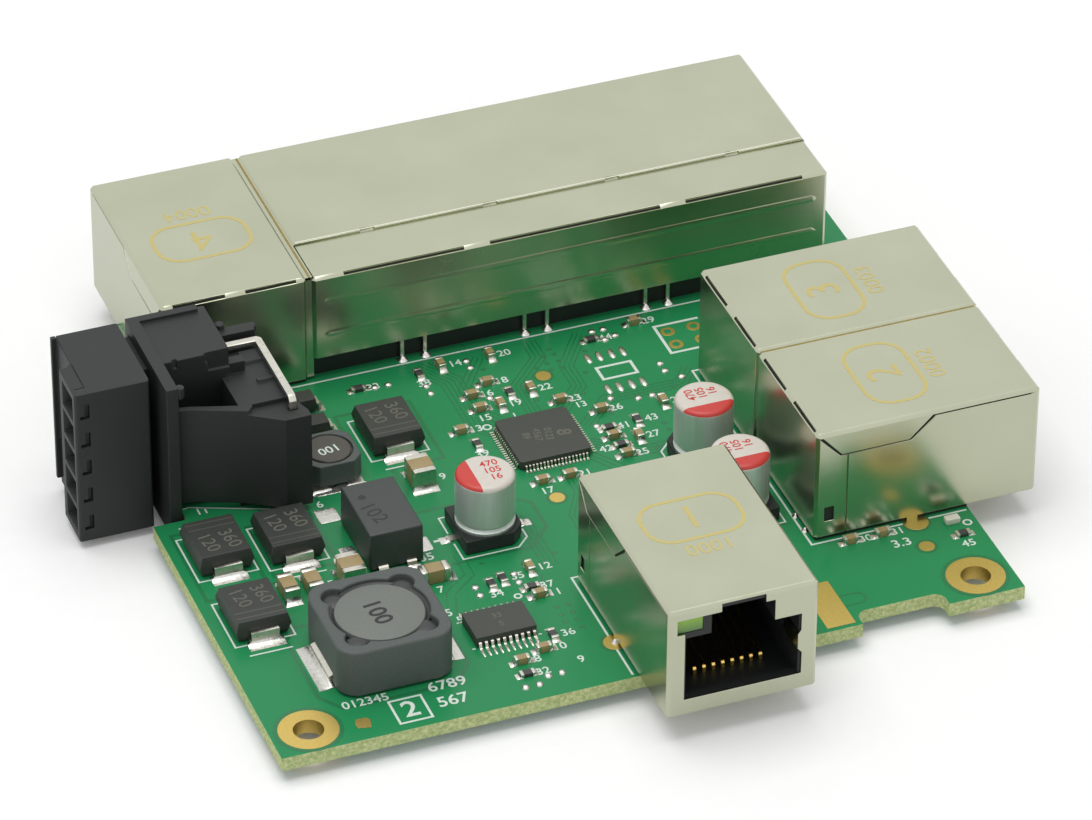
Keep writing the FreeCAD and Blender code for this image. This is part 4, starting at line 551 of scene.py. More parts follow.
FREE_NUMBERS = (     # digits, centre, height
    ("2", 14.6, 2.95, 2.5),
    ("11", 5.6, 41.6, 1.1), ("35", 24.7, 26.0, 1.2), ("5", 23.6, 16.4, 1.2), ("3.3", 71.5, 11.2, 1.3),
    ("13", 49.3, 45.6, 1.0), ("1", 42.0, 46.1, 1.0), ("6", 17.4, 38.4, 1.1), ("9", 33.5, 4.6, 1.1),
    ("567", 19.1, 2.9, 1.6), ("012345", 10.8, 5.7, 1.2), ("6789", 19.4, 5.5, 1.5), ("5", 24.3, 14.9, 1.1),
)

# Chalky white, letting a little green through where the ink is thin.
white_ink = grained("white_epoxy_ink", "#BFD4C6", "#EAF3EC", 0.3, (0.55, 0.65))


def box_mm(node):
    """A CAD node's lowest and highest corners in board millimetres."""
    low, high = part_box(node)
    return (low - BOARD_CORNER) / MM, (high - BOARD_CORNER) / MM


def islands(node):
    """Boxes of the separate solids in a CAD node, in board millimetres."""
    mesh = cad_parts[node].data
    spots = np.zeros(len(mesh.vertices) * 3)
    mesh.vertices.foreach_get("co", spots)
    spots = spots.reshape(-1, 3)
    _, same = np.unique(np.round(spots, 7), axis=0, return_inverse=True)
    same = same.reshape(-1)
    group = list(range(int(same.max()) + 1))

    def root(i):
        while group[i] != i:
            group[i] = group[group[i]]
            i = group[i]
        return i

    for edge in mesh.edges:
        a, b = root(same[edge.vertices[0]]), root(same[edge.vertices[1]])
        group[a] = b
    roots = np.array([root(i) for i in same])
    boxes = []
    for key in np.unique(roots):
        part = spots[roots == key]
        low = (Vector(part.min(0)) - BOARD_CORNER) / MM
        high = (Vector(part.max(0)) - BOARD_CORNER) / MM
        boxes.append((low, high))
    return sorted(boxes, key=lambda b: (round(b[0].x, 3), round(b[0].y, 3)))


def print_number(bm, text, x, y, height, turn=0, z=INK_Z, finish=0, weight=0.02):
    """Plain digits centred on (x, y), flat on the face at height z."""
    curve = bpy.data.curves.new("digits", "FONT")
    curve.body = text
    curve.size = height * 1.38
    curve.align_x = "CENTER"
    curve.align_y = "CENTER"
    curve.offset = height * weight
    curve.resolution_u = 3
    holder = set_out("digits", curve)
    mesh = baked(holder)
    mesh.transform(Matrix.Translation((x, y, z)) @ turned(turn))
    for polygon in mesh.polygons:
        polygon.material_index = finish
    bm.from_mesh(mesh)
    bpy.data.objects.remove(holder)
    bpy.data.meshes.remove(mesh)
    bpy.data.curves.remove(curve)


def jack_outline(node):
    """Left, front, right and rear of the line round a jack, kept on the board."""
    low, high = box_mm(node)
    return (low.x - JACK_LINE, max(low.y - JACK_LINE, INK_LIMIT[0]),
            min(high.x + JACK_LINE, INK_LIMIT[1]), high.y + JACK_LINE)


def ink(path, width=INK_WIDTH, closed=False):
    """One inked line."""
    lay_line(silk, path, width, INK_Z, closed)


silk = bmesh.new()
x0, y0, x1, y1 = jack_outline("front_jack_housing")
ink([(x0, y0), (x0, y1), (x1, y1), (x1, y0)], JACK_INK)
x0, y0, x1, y1 = jack_outline("right_front_jack_housing")
ink([(x0, y1), (x0, y0), (EDGE_LAND_GAP[0], y0)], JACK_INK)
ink([(EDGE_LAND_GAP[1], y0), (x1, y0)], JACK_INK)
x0, y0, x1, y1 = jack_outline("right_rear_jack_housing")
ink([(x0, y0), (x0, y1), (x1, y1)], JACK_INK)
gang_low, gang_high = box_mm("gang_jack_housing")
back_low = box_mm("back_jack_housing")[0]
x0, x1 = back_low.x - JACK_LINE, gang_high.x + JACK_LINE
y0, y1 = back_low.y - JACK_LINE, gang_low.y - JACK_LINE
ink([(x0, REAR_STOP), (x0, y0), (x1, y1), (x1, REAR_STOP)], JACK_INK)
for path, width, closed in FREE_LINES:
    ink(path, width, closed)
for name in ("front_left", "middle_left", "middle_right", "rear"):
    low, high = box_mm("diode_body_" + name)
    middle = (low + high) / 2
    y0, y1 = low.y - DIODE_CLEAR[1], high.y + DIODE_CLEAR[1]
    for side in (-1, 1):
        edge = middle.x + side * ((high.x - low.x) / 2 + DIODE_CLEAR[0])
        inner = middle.x + side * DIODE_MOUTH
        ink([(inner, y0), (edge, y0), (edge, y1), (inner, y1)])
    toward = 1 if name == "middle_left" else -1
    bar = middle.y + toward * ((high.y - low.y) / 2 + DIODE_BAR[1])
    ink([(middle.x - DIODE_BAR[0], bar), (middle.x + DIODE_BAR[0], bar)])
reach, corner = CAPACITOR_LINE
quarter = [(0, -reach), (reach - corner, -reach), (reach, -reach + corner), (reach, -CAPACITOR_PAD_GAP)]
square = [(-reach, -CAPACITOR_PAD_GAP), (-reach, -reach), (0, -reach)]
for name in ("left", "back", "front"):
    low, high = box_mm("capacitor_base_" + name)
    middle = (low + high) / 2
    for flip in (-1, 1):
        for shape in (quarter, square):
            spots = [(x, y * flip) for x, y in shape]
            if name != "left":
                spots = [(-y, x) for x, y in spots]
            ink([(middle.x + x, middle.y + y) for x, y in spots])
for x, y, r in PIN_ONE_RINGS:
    ring(silk, x, y, r - 0.11, r + 0.11, INK_Z, count=24)
chip_low, chip_high = box_mm("regulator_chip_body")
for y in (chip_low.y - 0.1, chip_high.y + 0.1):
    ink([(chip_low.x - 0.5, y), (chip_low.x - 0.15, y)])
    ink([(chip_high.x + 0.15, y), (chip_high.x + 0.5, y)])

# Each small part's number goes on its first free side: right, front, left or rear.
ends = islands("ceramic_capacitor_ends") + islands("chip_resistor_ends")
bodies = islands("ceramic_capacitor_bodies") + islands("chip_resistor_bodies")
occupied = ends + bodies
for node in ("choke_body", "power_inductor_core", "small_inductor_core", "switch_chip_leads",
             "regulator_chip_leads", "capacitor_base_left", "capacitor_base_back", "capacitor_base_front",
             "front_jack_housing", "right_front_jack_housing", "right_rear_jack_housing",
             "gang_jack_housing", "diode_body_rear", "rectifier_bodies"):
    occupied.append(box_mm(node))
half_x, half_y = NUMBER_HALF
for number, (low, high) in enumerate(bodies, FIRST_NUMBER):
    middle = (low + high) / 2
    reach_x, reach_y = (high.x - low.x) / 2 + NUMBER_REACH[0], (high.y - low.y) / 2 + NUMBER_REACH[1]
    for dx, dy in ((reach_x, 0), (0, -reach_y), (-reach_x, 0), (0, reach_y)):
        x, y = middle.x + dx, middle.y + dy
        clear = all(x + half_x < a.x or x - half_x > b.x or y + half_y < a.y or y - half_y > b.y
                    for a, b in occupied)
        if clear and 1 < x < NUMBER_FIELD[0] and 1 < y < NUMBER_FIELD[1]:
            print_number(silk, str(number), x, y, NUMBER_HEIGHT)
            occupied.append((Vector((x - half_x, y - half_y, 0)), Vector((x + half_x, y + half_y, 0))))
            break
for text, x, y, height in FREE_NUMBERS:
    print_number(silk, text, x, y, height)
finish_piece("silk_screen", silk, [white_ink])

# ---------------------------------------------------------------------------------
# Jack shields: bright nickel-plated brass sheet, blanked, folded and left with a
# rolled finish.  Flat faces mirror the board softly; fold edges are small radii.
JACKS = {"front_jack": 0, "right_front_jack": 90, "right_rear_jack": 90, "back_jack": 180,
         "gang_jack": 180}     # and the turn that each port faces
NICKEL_CLOUD = 9.0
NICKEL_ROLL = 0.12
SHARP_ANGLE = 32
RIB_RISE = 0.09
RIB_SLOPE = 0.17

# Pale warm gleam in drifting haze, with a faint rolled grain.
nickel, tree = new_material("nickel_plated_rolled_sheet")
cloud = grains(tree, NICKEL_CLOUD, Detail=3.0)
rolled = grains(tree, NICKEL_ROLL, squash=(1.0, 0.06, 1.0), Detail=2.0)
brush = add(tree, "ShaderNodeBump", {}, {"Height": rolled, "Strength": 0.12, "Distance": 0.004 * MM})
surface(tree, {"Base Color": tones(tree, cloud, "#B5B8A0", "#C1C4AD"), "Metallic": 1.0,
               "Roughness": span(tree, cloud, 0.18, 0.32), "Normal": brush.outputs[0]})


def eased_copy(node, name, width, material, segments=2, reshape=None, merge_flats=False):
    """A CAD node's copy with the small radii that its tool leaves on every edge."""
    bm = bmesh.new()
    bm.from_mesh(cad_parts[node].data)
    bmesh.ops.remove_doubles(bm, verts=bm.verts, dist=0.001 * MM)
    if merge_flats:
        bmesh.ops.dissolve_limit(bm, angle_limit=math.radians(0.5), verts=bm.verts, edges=bm.edges)
    if reshape:
        reshape(bm)
    mesh = bpy.data.meshes.new(name)
    bm.to_mesh(mesh)
    bm.free()
    piece = set_out(name + "_raw", mesh)
    bevel = piece.modifiers.new("eased_edges", "BEVEL")
    bevel.width = width * MM
    bevel.segments = segments
    bevel.limit_method = "ANGLE"
    bevel.angle_limit = math.radians(SHARP_ANGLE)
    bevel.use_clamp_overlap = False
    weigh = piece.modifiers.new("flat_faces", "WEIGHTED_NORMAL")
    weigh.keep_sharp = True
    mesh.shade_smooth()
    mesh.set_sharp_from_angle(angle=math.radians(SHARP_ANGLE + 28))
    finished = baked(piece)
    bpy.data.objects.remove(piece)
    finished.name = name
    place_mesh(name, finished, [material], (node,))


for jack in JACKS:
    eased_copy(jack + "_shield", jack + "_folded_shield", 0.05, nickel)


def soften_ribs(bm):
    """Turn the rear cover's two pressed ribs from square steps into low, soft slopes."""
    low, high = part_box("gang_jack_rear_cover")
    proud = [v for v in bm.verts if v.co.y < low.y + 0.01 * MM]
    wall_y = min(v.co.y for v in bm.verts if v.co.y > low.y + 0.01 * MM)
    halfway = (low.z + high.z) / 2
    for above in (True, False):
        rib = [v for v in proud if (v.co.z > halfway) == above]
        middle = sum(v.co.z for v in rib) / len(rib)
        for v in rib:
            v.co.y = wall_y - RIB_RISE * MM
            if abs(v.co.z - middle) > RIB_SLOPE * MM:
                v.co.z -= math.copysign(RIB_SLOPE * MM, v.co.z - middle)


eased_copy("gang_jack_rear_cover", "gang_jack_folded_cover", 0.03, nickel,
           reshape=soften_ribs)

# ---------------------------------------------------------------------------------
# Seams between shields: raw brass shows along the blanked edges, with painted shade deep
# between neighbouring jacks, and a painted highlight runs along the rear cover's rolled-over edge.
SEAM_DEPTH = 0.22
SEAM_END = 0.4                  # lines stop short of the shields' corners
COVER_SEAM_Y = 66.35
RIGHT_SEAM_LINE = 0.34
BACK_SEAM_LINE = 0.24
BACK_SEAM_LINE_SHIFT = 0.12         # the back jack's edge hides the other half
PAINTED_HIGHLIGHT_WIDTH = 0.16

# Thin brown-gold line: raw brass of the cut edges, darkened as painted shade in the seam.
seam_brass_and_shade = grained("raw_brass_edge_and_painted_seam_shade", "#7C6E40", "#A6975F", 0.4, (0.4, 0.6), metallic=1.0)

# Painted highlight: brighter than the sheet round it, standing in for the light its edge catches.
painted_highlight = grained("painted_highlight_sheet_edge", "#DDDCCB", "#F0EEDF", 0.4, (0.3, 0.45), metallic=1.0)

bm = bmesh.new()
near, far = box_mm("right_front_jack_shield"), box_mm("right_rear_jack_shield")
seam_y = (near[1].y + far[0].y) / 2
# Brown line down in the seam: raw brass edge with painted seam shade.
lay_line(bm, [(near[0].x + SEAM_END, seam_y), (near[1].x - SEAM_END, seam_y)], RIGHT_SEAM_LINE,
         near[1].z - SEAM_DEPTH)
near, far = box_mm("back_jack_shield"), box_mm("gang_jack_shield")
top, seam_x = near[1].z, (near[1].x + far[0].x) / 2
y0, y1 = near[0].y + SEAM_END, near[1].y - SEAM_END
x0, x1 = near[1].x - 0.1, far[0].x + 0.1
seam_line_x = seam_x + BACK_SEAM_LINE_SHIFT
# The back seam's line, raw brass with painted shade, and a nickel floor under it.
lay_line(bm, [(seam_line_x, y0), (seam_line_x, y1)], BACK_SEAM_LINE, top - SEAM_DEPTH + 0.02)
lay_line(bm, [(seam_x, y0), (seam_x, y1)], x1 - x0, top - SEAM_DEPTH, finish=1)
# The rear cover's seam carries a painted highlight line.
lay_line(bm, [(far[0].x + SEAM_END, COVER_SEAM_Y), (far[1].x - SEAM_END, COVER_SEAM_Y)], PAINTED_HIGHLIGHT_WIDTH,
         far[1].z + 0.01, finish=2)
gap_face = ((x0, 0.4), (x1, 0.4), (x1, top - 0.5), (x0, top - 0.5))
bm.faces.new([bm.verts.new((x, near[0].y + 0.35, z)) for x, z in gap_face]).material_index = 1
finish_piece("raw_brass_seams", bm, [seam_brass_and_shade, nickel, painted_highlight])

# ---------------------------------------------------------------------------------
# Port numbers: each single jack carries a plain number in a rounded frame, marked
# on its top by laser, which tempers the nickel to pale gold.
MARK_LINE = 0.42
MARK_SIZE = (10.4, 6.6)
MARK_CORNER = 2.6
MARK_Z = 0.008
MARK_SHIFT = 1.6                # the frame stands toward the jack's rear
FOOT_SHIFT = 5.2                # and a small number below it
PORT_DIGIT = 3.8
FOOT_DIGIT = 1.9

# Pale gold lines, duller than the plating round them.
laser_mark = grained("laser_tempered_nickel", "#BAAD6E", "#C6BB82", 0.2, (0.4, 0.46), metallic=1.0)


def rounded_outline(width, depth, radius, steps=6):
    """Points round a rectangle with round corners."""
    points = []
    for cx, cy, start in ((1, 1, 0), (-1, 1, 90), (-1, -1, 180), (1, -1, 270)):
        for i in range(steps + 1):
            angle = math.radians(start + 90 * i / steps)
            points.append((cx * (width / 2 - radius) + radius * math.cos(angle),
                           cy * (depth / 2 - radius) + radius * math.sin(angle)))
    return points


bm = bmesh.new()
for text, (jack, turn) in zip("1234", JACKS.items()):     # the gang, last, carries none
    low, high = box_mm(jack + "_shield")
    top = high.z + MARK_Z
    centre = (low + high) / 2 + turned(turn) @ Vector((0, MARK_SHIFT, 0))
    foot = centre + turned(turn) @ Vector((0, -FOOT_SHIFT, 0))
    corners = [turned(turn) @ Vector((*spot, 0)) for spot in rounded_outline(*MARK_SIZE, MARK_CORNER)]
    lay_line(bm, [(centre.x + p.x, centre.y + p.y) for p in corners], MARK_LINE, top, closed=True)
    print_number(bm, text, centre.x, centre.y, PORT_DIGIT, turn, z=top, weight=0)
    print_number(bm, "000" + text, foot.x, foot.y, FOOT_DIGIT, turn, z=top, weight=0)
finish_piece("laser_port_numbers", bm, [laser_mark])

# ---------------------------------------------------------------------------------
# Jack mouldings: black glass-filled nylon behind the shields, with a green light
# guide beside each latch notch and eight gold-plated spring wires in each cavity.
WIRE_HALF = 0.225
WIRE_T = 0.3
WIRE_BEND = 0.42
WIRE_NOSE = 0.55
WIRE_CORNER = 1.2               # edges turning more than this, in radians, are rounded

# Near-black with a faint sparkle of glass fibre and worn, half-matt skin.
black_nylon = grained("moulded_black_nylon", "#1A1D1D", "#292D2C", 0.22, (0.42, 0.62), bump=0.35,
                      **{"Specular IOR Level": 0.4})

# Painted light: deep green at the foot as painted shade, lime toward the top as a painted glow.
green_lens, tree = new_material("green_tinted_light_guide")
place = add(tree, "ShaderNodeTexCoord", {}, {}).outputs["Object"]
height = add(tree, "ShaderNodeSeparateXYZ", {}, {0: place}).outputs["Z"]
lens_low, lens_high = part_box("front_jack_light_guide")
# Painted shade low down and a painted glow high up, by height alone.
painted_light_rise = add(tree, "ShaderNodeMapRange", {},
           {"Value": height, "From Min": lens_low.z, "From Max": lens_high.z})
surface(tree, {"Base Color": tones(tree, painted_light_rise.outputs[0], "#4E7A3C", "#8FBE33"), "Roughness": 0.12,
               "IOR": 1.49, "Coat Weight": 0.4})

# Bright gold, catching the light at each bend.
gold_wire = grained("gold_plated_spring_wire", "#E3B548", "#FFE08C", 0.3, (0.18, 0.26), metallic=1.0)

for jack in JACKS:
    dress(jack + "_housing", black_nylon)
    dress(jack + "_light_guide", green_lens)


def prism(bm, near_outline, far_outline):
    """Close two matching outlines into a bar."""
    near_rim, far_rim = ([bm.verts.new(p) for p in outline] for outline in (near_outline, far_outline))
    for i in range(len(near_rim)):
        j = (i + 1) % len(near_rim)
        bm.faces.new((near_rim[i], near_rim[j], far_rim[j], far_rim[i]))
    bm.faces.new(near_rim[::-1])
    bm.faces.new(far_rim)


# Each spring wire comes up out of the cavity floor in a round bend and slopes back to
# the rear wall of the cavity.
for jack, turn in JACKS.items():
    jack_turn = turned(turn)
    unturn = jack_turn.inverted()
    bm = bmesh.new()
    for low, high in islands(jack + "_contacts"):
        near, far = sorted(((unturn @ low).y, (unturn @ high).y))
        across = (unturn @ ((low + high) / 2)).x
        nose_y, nose_z = near + WIRE_BEND, low.z + WIRE_NOSE
        slope = math.atan2(high.z - 0.2 - nose_z - WIRE_BEND, far - nose_y)
        outer, inner = ([(nose_y - radius * math.cos(a), nose_z + radius * math.sin(a))
                         for a in np.linspace(0, math.pi / 2 + slope, 7)]
                        for radius in (WIRE_BEND, WIRE_BEND - WIRE_T))
        outline = [(near, low.z), *outer, (far, high.z), (far, high.z - WIRE_T), *reversed(inner),
                   (near + WIRE_T, low.z)]
        prism(bm, *([jack_turn @ Vector((across + shift, y, z)) for y, z in outline]
                    for shift in (-WIRE_HALF, WIRE_HALF)))
    bmesh.ops.recalc_face_normals(bm, faces=bm.faces)
    bends = [e for e in bm.edges if e.calc_face_angle(0) > WIRE_CORNER]
    bmesh.ops.bevel(bm, geom=bends, offset=0.06, segments=1, affect="EDGES")
    finish_piece(jack + "_spring_wires", bm, [gold_wire], (jack + "_contacts",),
                 smooth=40)

# ---------------------------------------------------------------------------------
# Supply terminal: header and plug are one grade of black nylon, eased along every
# edge; the five header pins are tinned flat wire, the clamps bright steel.
GUARD_DRAW_IN = 0.55
GUARD_DEEPER = 5.0
GUARD_T = 0.5
GUARD_REACH = 1.2

# Silvery, slightly milky where the tin froze last.
tinned = grained("bright_tinned_copper", "#BDBBAE", "#E2E0D6", 0.5, (0.2, 0.4), metallic=1.0)


def deepen_guard(bm):
    """Set the plug's thin guard blade flush at its rear corner and run it almost to the foot."""
    low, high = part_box("terminal_plug")
    blade = [v for v in bm.verts
             if v.co.x < low.x + 0.35 * MM and v.co.y > high.y - (GUARD_T + 0.05) * MM]
    foot = min(v.co.z for v in blade)
    outer = min(v.co.x for v in blade) + GUARD_DRAW_IN * MM
    for v in blade:
        v.co.x = outer
    size = Vector((GUARD_REACH - GUARD_DRAW_IN, GUARD_T, GUARD_DEEPER)) * MM
    middle = Vector((outer + size.x / 2, high.y - size.y / 2, foot - size.z / 2))
    bmesh.ops.create_cube(bm, size=1.0, matrix=Matrix.Translation(middle) @ Matrix.Diagonal((*size, 1)))


eased_copy("terminal_header", "terminal_header_moulding", 0.07, black_nylon)
eased_copy("terminal_plug", "terminal_plug_moulding", 0.07, black_nylon,
           reshape=deepen_guard)
eased_copy("terminal_header_pins", "terminal_header_wires", 0.08, tinned)
dress("terminal_plug_clamps", tinned)
dress("gang_jack_lamp_pins", tinned)

# ---------------------------------------------------------------------------------
# Electrolytic capacitors: drawn aluminium cans with a rolled groove over the seal,
# a printed top with a red polarity segment, on moulded black bases.
CAN_PROFILE = ((0.0, 0.9), (3.06, 0.9), (3.15, 1.0), (3.15, 1.95), (3.0, 2.05), (2.86, 2.22), (2.86, 2.38),
               (3.0, 2.55), (3.15, 2.66), (3.15, 7.1), (3.12, 7.3), (3.03, 7.47), (2.9, 7.6), (2.72, 7.68),
               (2.5, 7.7), (0.0, 7.7))
CAN_LINE = 0.35
PRINT_FROM = 7.32               # the lacquer runs just over the can's shoulder
RED_CHORD = 1.25
CAN_ROWS = (("470", 1.2), ("105", 0), ("16", -1.2))
CAN_DIGIT = 0.95
CAN_TEXT_SHIFT = 0.8            # away from the red

# Satin aluminium with faint upright drawing lines.
aluminium_can, tree = new_material("drawn_aluminium_can")
drawn = grains(tree, CAN_LINE, squash=(1.0, 1.0, 0.08), Detail=3.0)
surface(tree, {"Base Color": tones(tree, drawn, "#BFCAC4", "#D7DFD9"), "Metallic": 0.6, "Roughness": 0.45})

# Warm off-white lacquer, and the same lacquer in signal red.
white_print = grained("white_lacquered_can_top", "#CFC8BE", "#DDD6CC", 0.6, (0.32, 0.4))
red_print = grained("red_lacquered_can_top", "#C4352D", "#D0403A", 0.6, (0.32, 0.4))

for name, toward in (("left", 180), ("back", 270), ("front", 270)):
    low, high = box_mm("capacitor_can_" + name)
    axis = Vector((*((low + high) / 2).xy, 0))
    bm = bmesh.new()
    lathe(bm, CAN_PROFILE, 64, tuple(axis.xy))
    bmesh.ops.recalc_face_normals(bm, faces=bm.faces)
    red_way = Vector((math.cos(math.radians(toward)), math.sin(math.radians(toward)), 0))
    bmesh.ops.bisect_plane(bm, geom=bm.verts[:] + bm.edges[:] + bm.faces[:], plane_no=red_way, dist=1e-5,
                           plane_co=axis + red_way * RED_CHORD)
    for face in bm.faces:
        centre = face.calc_center_median()
        if centre.z > PRINT_FROM:
            face.material_index = 2 if (centre - axis).dot(red_way) > RED_CHORD else 1
    up_way = Vector((red_way.y, -red_way.x, 0))
    for text, row in CAN_ROWS:
        spot = axis - red_way * CAN_TEXT_SHIFT + up_way * row
        print_number(bm, text, spot.x, spot.y, CAN_DIGIT, toward + 180, z=high.z + 0.012, finish=2)
    finish_piece("capacitor_" + name, bm, [aluminium_can, white_print, red_print],
                 ("capacitor_can_" + name,), smooth=35)
    eased_copy("capacitor_base_" + name, "capacitor_seat_" + name, 0.12, black_nylon)
dress("capacitor_leads", tinned)

# ---------------------------------------------------------------------------------
# Wound parts: pressed ferrite cores, matt grey with a fine grit; the big inductor
# has its drum sunk in a square ring, set in dark glue.
RESIN_DROP = 0.32               # the glue lies that far below the drum's face
CHOKE_DRAFT = 0.06
CHOKE_EASE = 0.24
LEAD_INSET = 0.18

# Matt slate grey with a fine sintered grit.
ferrite = grained("pressed_ferrite", "#3F4543", "#5B625F", 0.18, (0.5, 0.6), bump=0.4)

# The ground face is smoother and paler than the pressed sides.
ground_ferrite = grained("ground_ferrite_face", "#656A65", "#777C75", 0.3, (0.46, 0.54))

# Nearly black, with a slight shine where the glue has run smooth.
glue = grained("dark_bonding_resin", "#292D2C", "#353A38", 0.8, (0.3, 0.5))

# Dull charcoal ink.
dark_print = grained("dark_stamped_ink", "#262A28", "#333735", 0.3, (0.7, 0.8))

eased_copy("power_inductor_core", "power_inductor_ring", 0.24, ferrite, segments=3,
           merge_flats=True)
low, high = box_mm("power_inductor_drum")
middle = (low + high) / 2
radius = (high.x - low.x) / 2
bm = bmesh.new()
lathe(bm, [(radius - 0.5, low.z), (radius, low.z + 0.4), (radius, high.z - 0.22),
           (radius - 0.08, high.z - 0.07), (radius - 0.26, high.z), (0, high.z)], 64, (middle.x, middle.y))
print_number(bm, "100", middle.x - 0.3, middle.y, 1.95, 277, z=high.z + 0.01, finish=1, weight=0.03)
finish_piece("power_inductor_bobbin", bm, [ground_ferrite, dark_print],
             ("power_inductor_drum",), smooth=35)

# Glue fills the ring's round well and stands low in its four corner pockets.
bm = bmesh.new()
resin_z = high.z - RESIN_DROP
lathe(bm, [(radius - 0.1, resin_z - 0.1), (radius + 0.3, resin_z + 0.05), (radius + 0.46, resin_z + 0.18)],
      48, (middle.x, middle.y))
core_top = box_mm("power_inductor_core")[1].z
pocket = ((1.25, core_top - 0.62), (0.7, core_top - 0.42), (0, core_top - 0.38))
reach = (radius + 0.45) * math.sqrt(0.5)
for i in (-1, 1):
    for j in (-1, 1):
        lathe(bm, pocket, 20, (middle.x + i * reach, middle.y + j * reach))
finish_piece("power_inductor_resin", bm, [glue], smooth=50)
dress("power_inductor_terminals", tinned)

# The choke is a plain upright block with crisp corners and a slight draft to the top.
# Its compound is darker than the ferrite, with a soft sheen.
choke_compound = grained("choke_moulding_compound", "#2C312F", "#434946", 0.18, (0.4, 0.5), bump=0.4)
low, high = box_mm("choke_body")
middle, size_mm = (low + high) / 2, high - low
choke_y = middle.y
bm = bmesh.new()
bmesh.ops.create_cube(bm, size=1.0, matrix=Matrix.Translation(middle) @ Matrix.Diagonal((*size_mm, 1)))
for v in bm.verts:
    if v.co.z > middle.z:
        v.co.x -= math.copysign(CHOKE_DRAFT, v.co.x - middle.x)
        v.co.y -= math.copysign(CHOKE_DRAFT, v.co.y - middle.y)
bmesh.ops.bevel(bm, geom=bm.edges[:], offset=CHOKE_EASE, segments=3, profile=0.6, affect="EDGES")
finish_piece("choke_moulding", bm, [choke_compound], ("choke_body",), smooth=40)
bm = bmesh.new()
print_number(bm, "102", middle.x - 1.2, middle.y - 0.9, 1.75, 284, z=high.z + 0.006, weight=0.01)
lay_area(bm, ring_points(middle.x - 1.45, middle.y + 2.0, 0.42, 20), high.z + 0.006)
finish_piece("choke_marks", bm, [dark_print])

# Its four leads are flat tails bent out at the foot, mostly hidden in the notches.
bm = bmesh.new()
for low, high in islands("choke_leads"):
    outward = 1 if (low + high).y / 2 > choke_y else -1
    root, toe = (low.y, high.y) if outward > 0 else (high.y, low.y)
    profile = [(root, 0.02), (toe, 0.02), (toe, 0.16), (toe - outward * 0.22, 0.62),
               (toe - outward * 0.4, 0.75), (root, 0.75)]
    prism(bm, *([(x, y, z) for y, z in profile] for x in (low.x + LEAD_INSET, high.x - LEAD_INSET)))
bmesh.ops.recalc_face_normals(bm, faces=bm.faces)
finish_piece("choke_flat_leads", bm, [tinned], ("choke_leads",))

# Smooth brown-black seal over the small inductor's winding, glossier than its core.
brown_glue = grained("brown_sealing_resin", "#43403A", "#524E45", 0.8, (0.25, 0.35))
eased_copy("small_inductor_core", "small_inductor_ring", 0.12, ferrite, merge_flats=True)
low, high = box_mm("small_inductor_disc")
middle = (low + high) / 2
radius = (high.x - low.x) / 2
bm = bmesh.new()
lathe(bm, [(radius, low.z), (radius, high.z - 0.1), (radius - 0.1, high.z), (0, high.z)], 40,
      (middle.x, middle.y))
print_number(bm, "100", middle.x, middle.y - 0.2, 1.2, 190, z=high.z + 0.006, finish=1)
finish_piece("small_inductor_face", bm, [brown_glue, white_ink], ("small_inductor_disc",),
             smooth=35)
dress("small_inductor_terminals", tinned)

# ---------------------------------------------------------------------------------
# Power diodes and small rectifiers: transfer-moulded brown-black epoxy, drafted
# above and below the lead line, with a paler cathode band and tinned flat leads.
DIODES = (("front_left", -1), ("middle_left", 1), ("middle_right", -1), ("rear", -1))   # cathode side
BODY_EASE = 0.09
TOP_MARGIN = 0.42
BAND_LINES = (0.5, 1.4)         # from the top face's edge

# Brown-black and half-matt, with mould sparkle on the top face.
diode_epoxy = grained("transfer_moulded_epoxy", "#272A26", "#383B36", 0.2, (0.45, 0.55), bump=0.3)

# Laser etching leaves a dusty tan; the cathode band is only a little paler than the body.
etched_epoxy = grained("laser_etched_epoxy", "#5C5B51", "#6C6A5F", 0.2, (0.65, 0.75))
band_epoxy = grained("polished_cathode_band", "#44453D", "#51524A", 0.3, (0.36, 0.44))

bm = bmesh.new()
for name, band_side in DIODES:
    eased_copy("diode_body_" + name, "diode_" + name, BODY_EASE, diode_epoxy)
    low, high = box_mm("diode_body_" + name)
    middle = (low + high) / 2
    half_x, half_y = (high.x - low.x) / 2 - TOP_MARGIN, (high.y - low.y) / 2 - TOP_MARGIN
    for inset in BAND_LINES:
        y = middle.y + band_side * (half_y - inset)
        lay_line(bm, [(middle.x - half_x, y), (middle.x + half_x, y)], 0.2, high.z + 0.005)
    for row, text in ((1.15, "360"), (-1.15, "120")):
        print_number(bm, text, middle.x + row, middle.y - band_side * 0.8, 1.55, 280, z=high.z + 0.005,
                     finish=1, weight=-0.005)
finish_piece("diode_marks", bm, [band_epoxy, etched_epoxy])
eased_copy("diode_leads", "diode_flat_leads", 0.05, tinned)
eased_copy("rectifier_bodies", "rectifiers", 0.07, diode_epoxy)
dress("rectifier_leads", tinned)

# ---------------------------------------------------------------------------------
# Chips: switch controller and regulator, dark epoxy with laser-etched numbers and
# gull-wing leads.
CHIP_ROWS = (     # turn of the text, then digits, place and height of each row
    ("switch_chip", 260, (("8", 2.2, 1.6), ("0123", 0.6, 0.8), ("4567", -0.6, 0.8), ("89", -1.8, 0.8))),
    ("regulator_chip", 0, (("33", 0.7, 0.8), ("5", -0.7, 0.8))),
)
GULL_LEAD = ((-0.05, 0.66), (0.1, 0.66), (0.2, 0.58), (0.32, 0.16), (0.42, 0.12), (0.74, 0.12),
             (0.74, 0.0), (0.36, 0.0), (0.24, 0.08), (0.1, 0.5), (0.04, 0.54), (-0.05, 0.54))
GULL_HALF = 0.1

# Slate-black with a finer skin than the diodes.
chip_epoxy = grained("fine_moulded_chip_epoxy", "#353833", "#444840", 0.12, (0.5, 0.6))

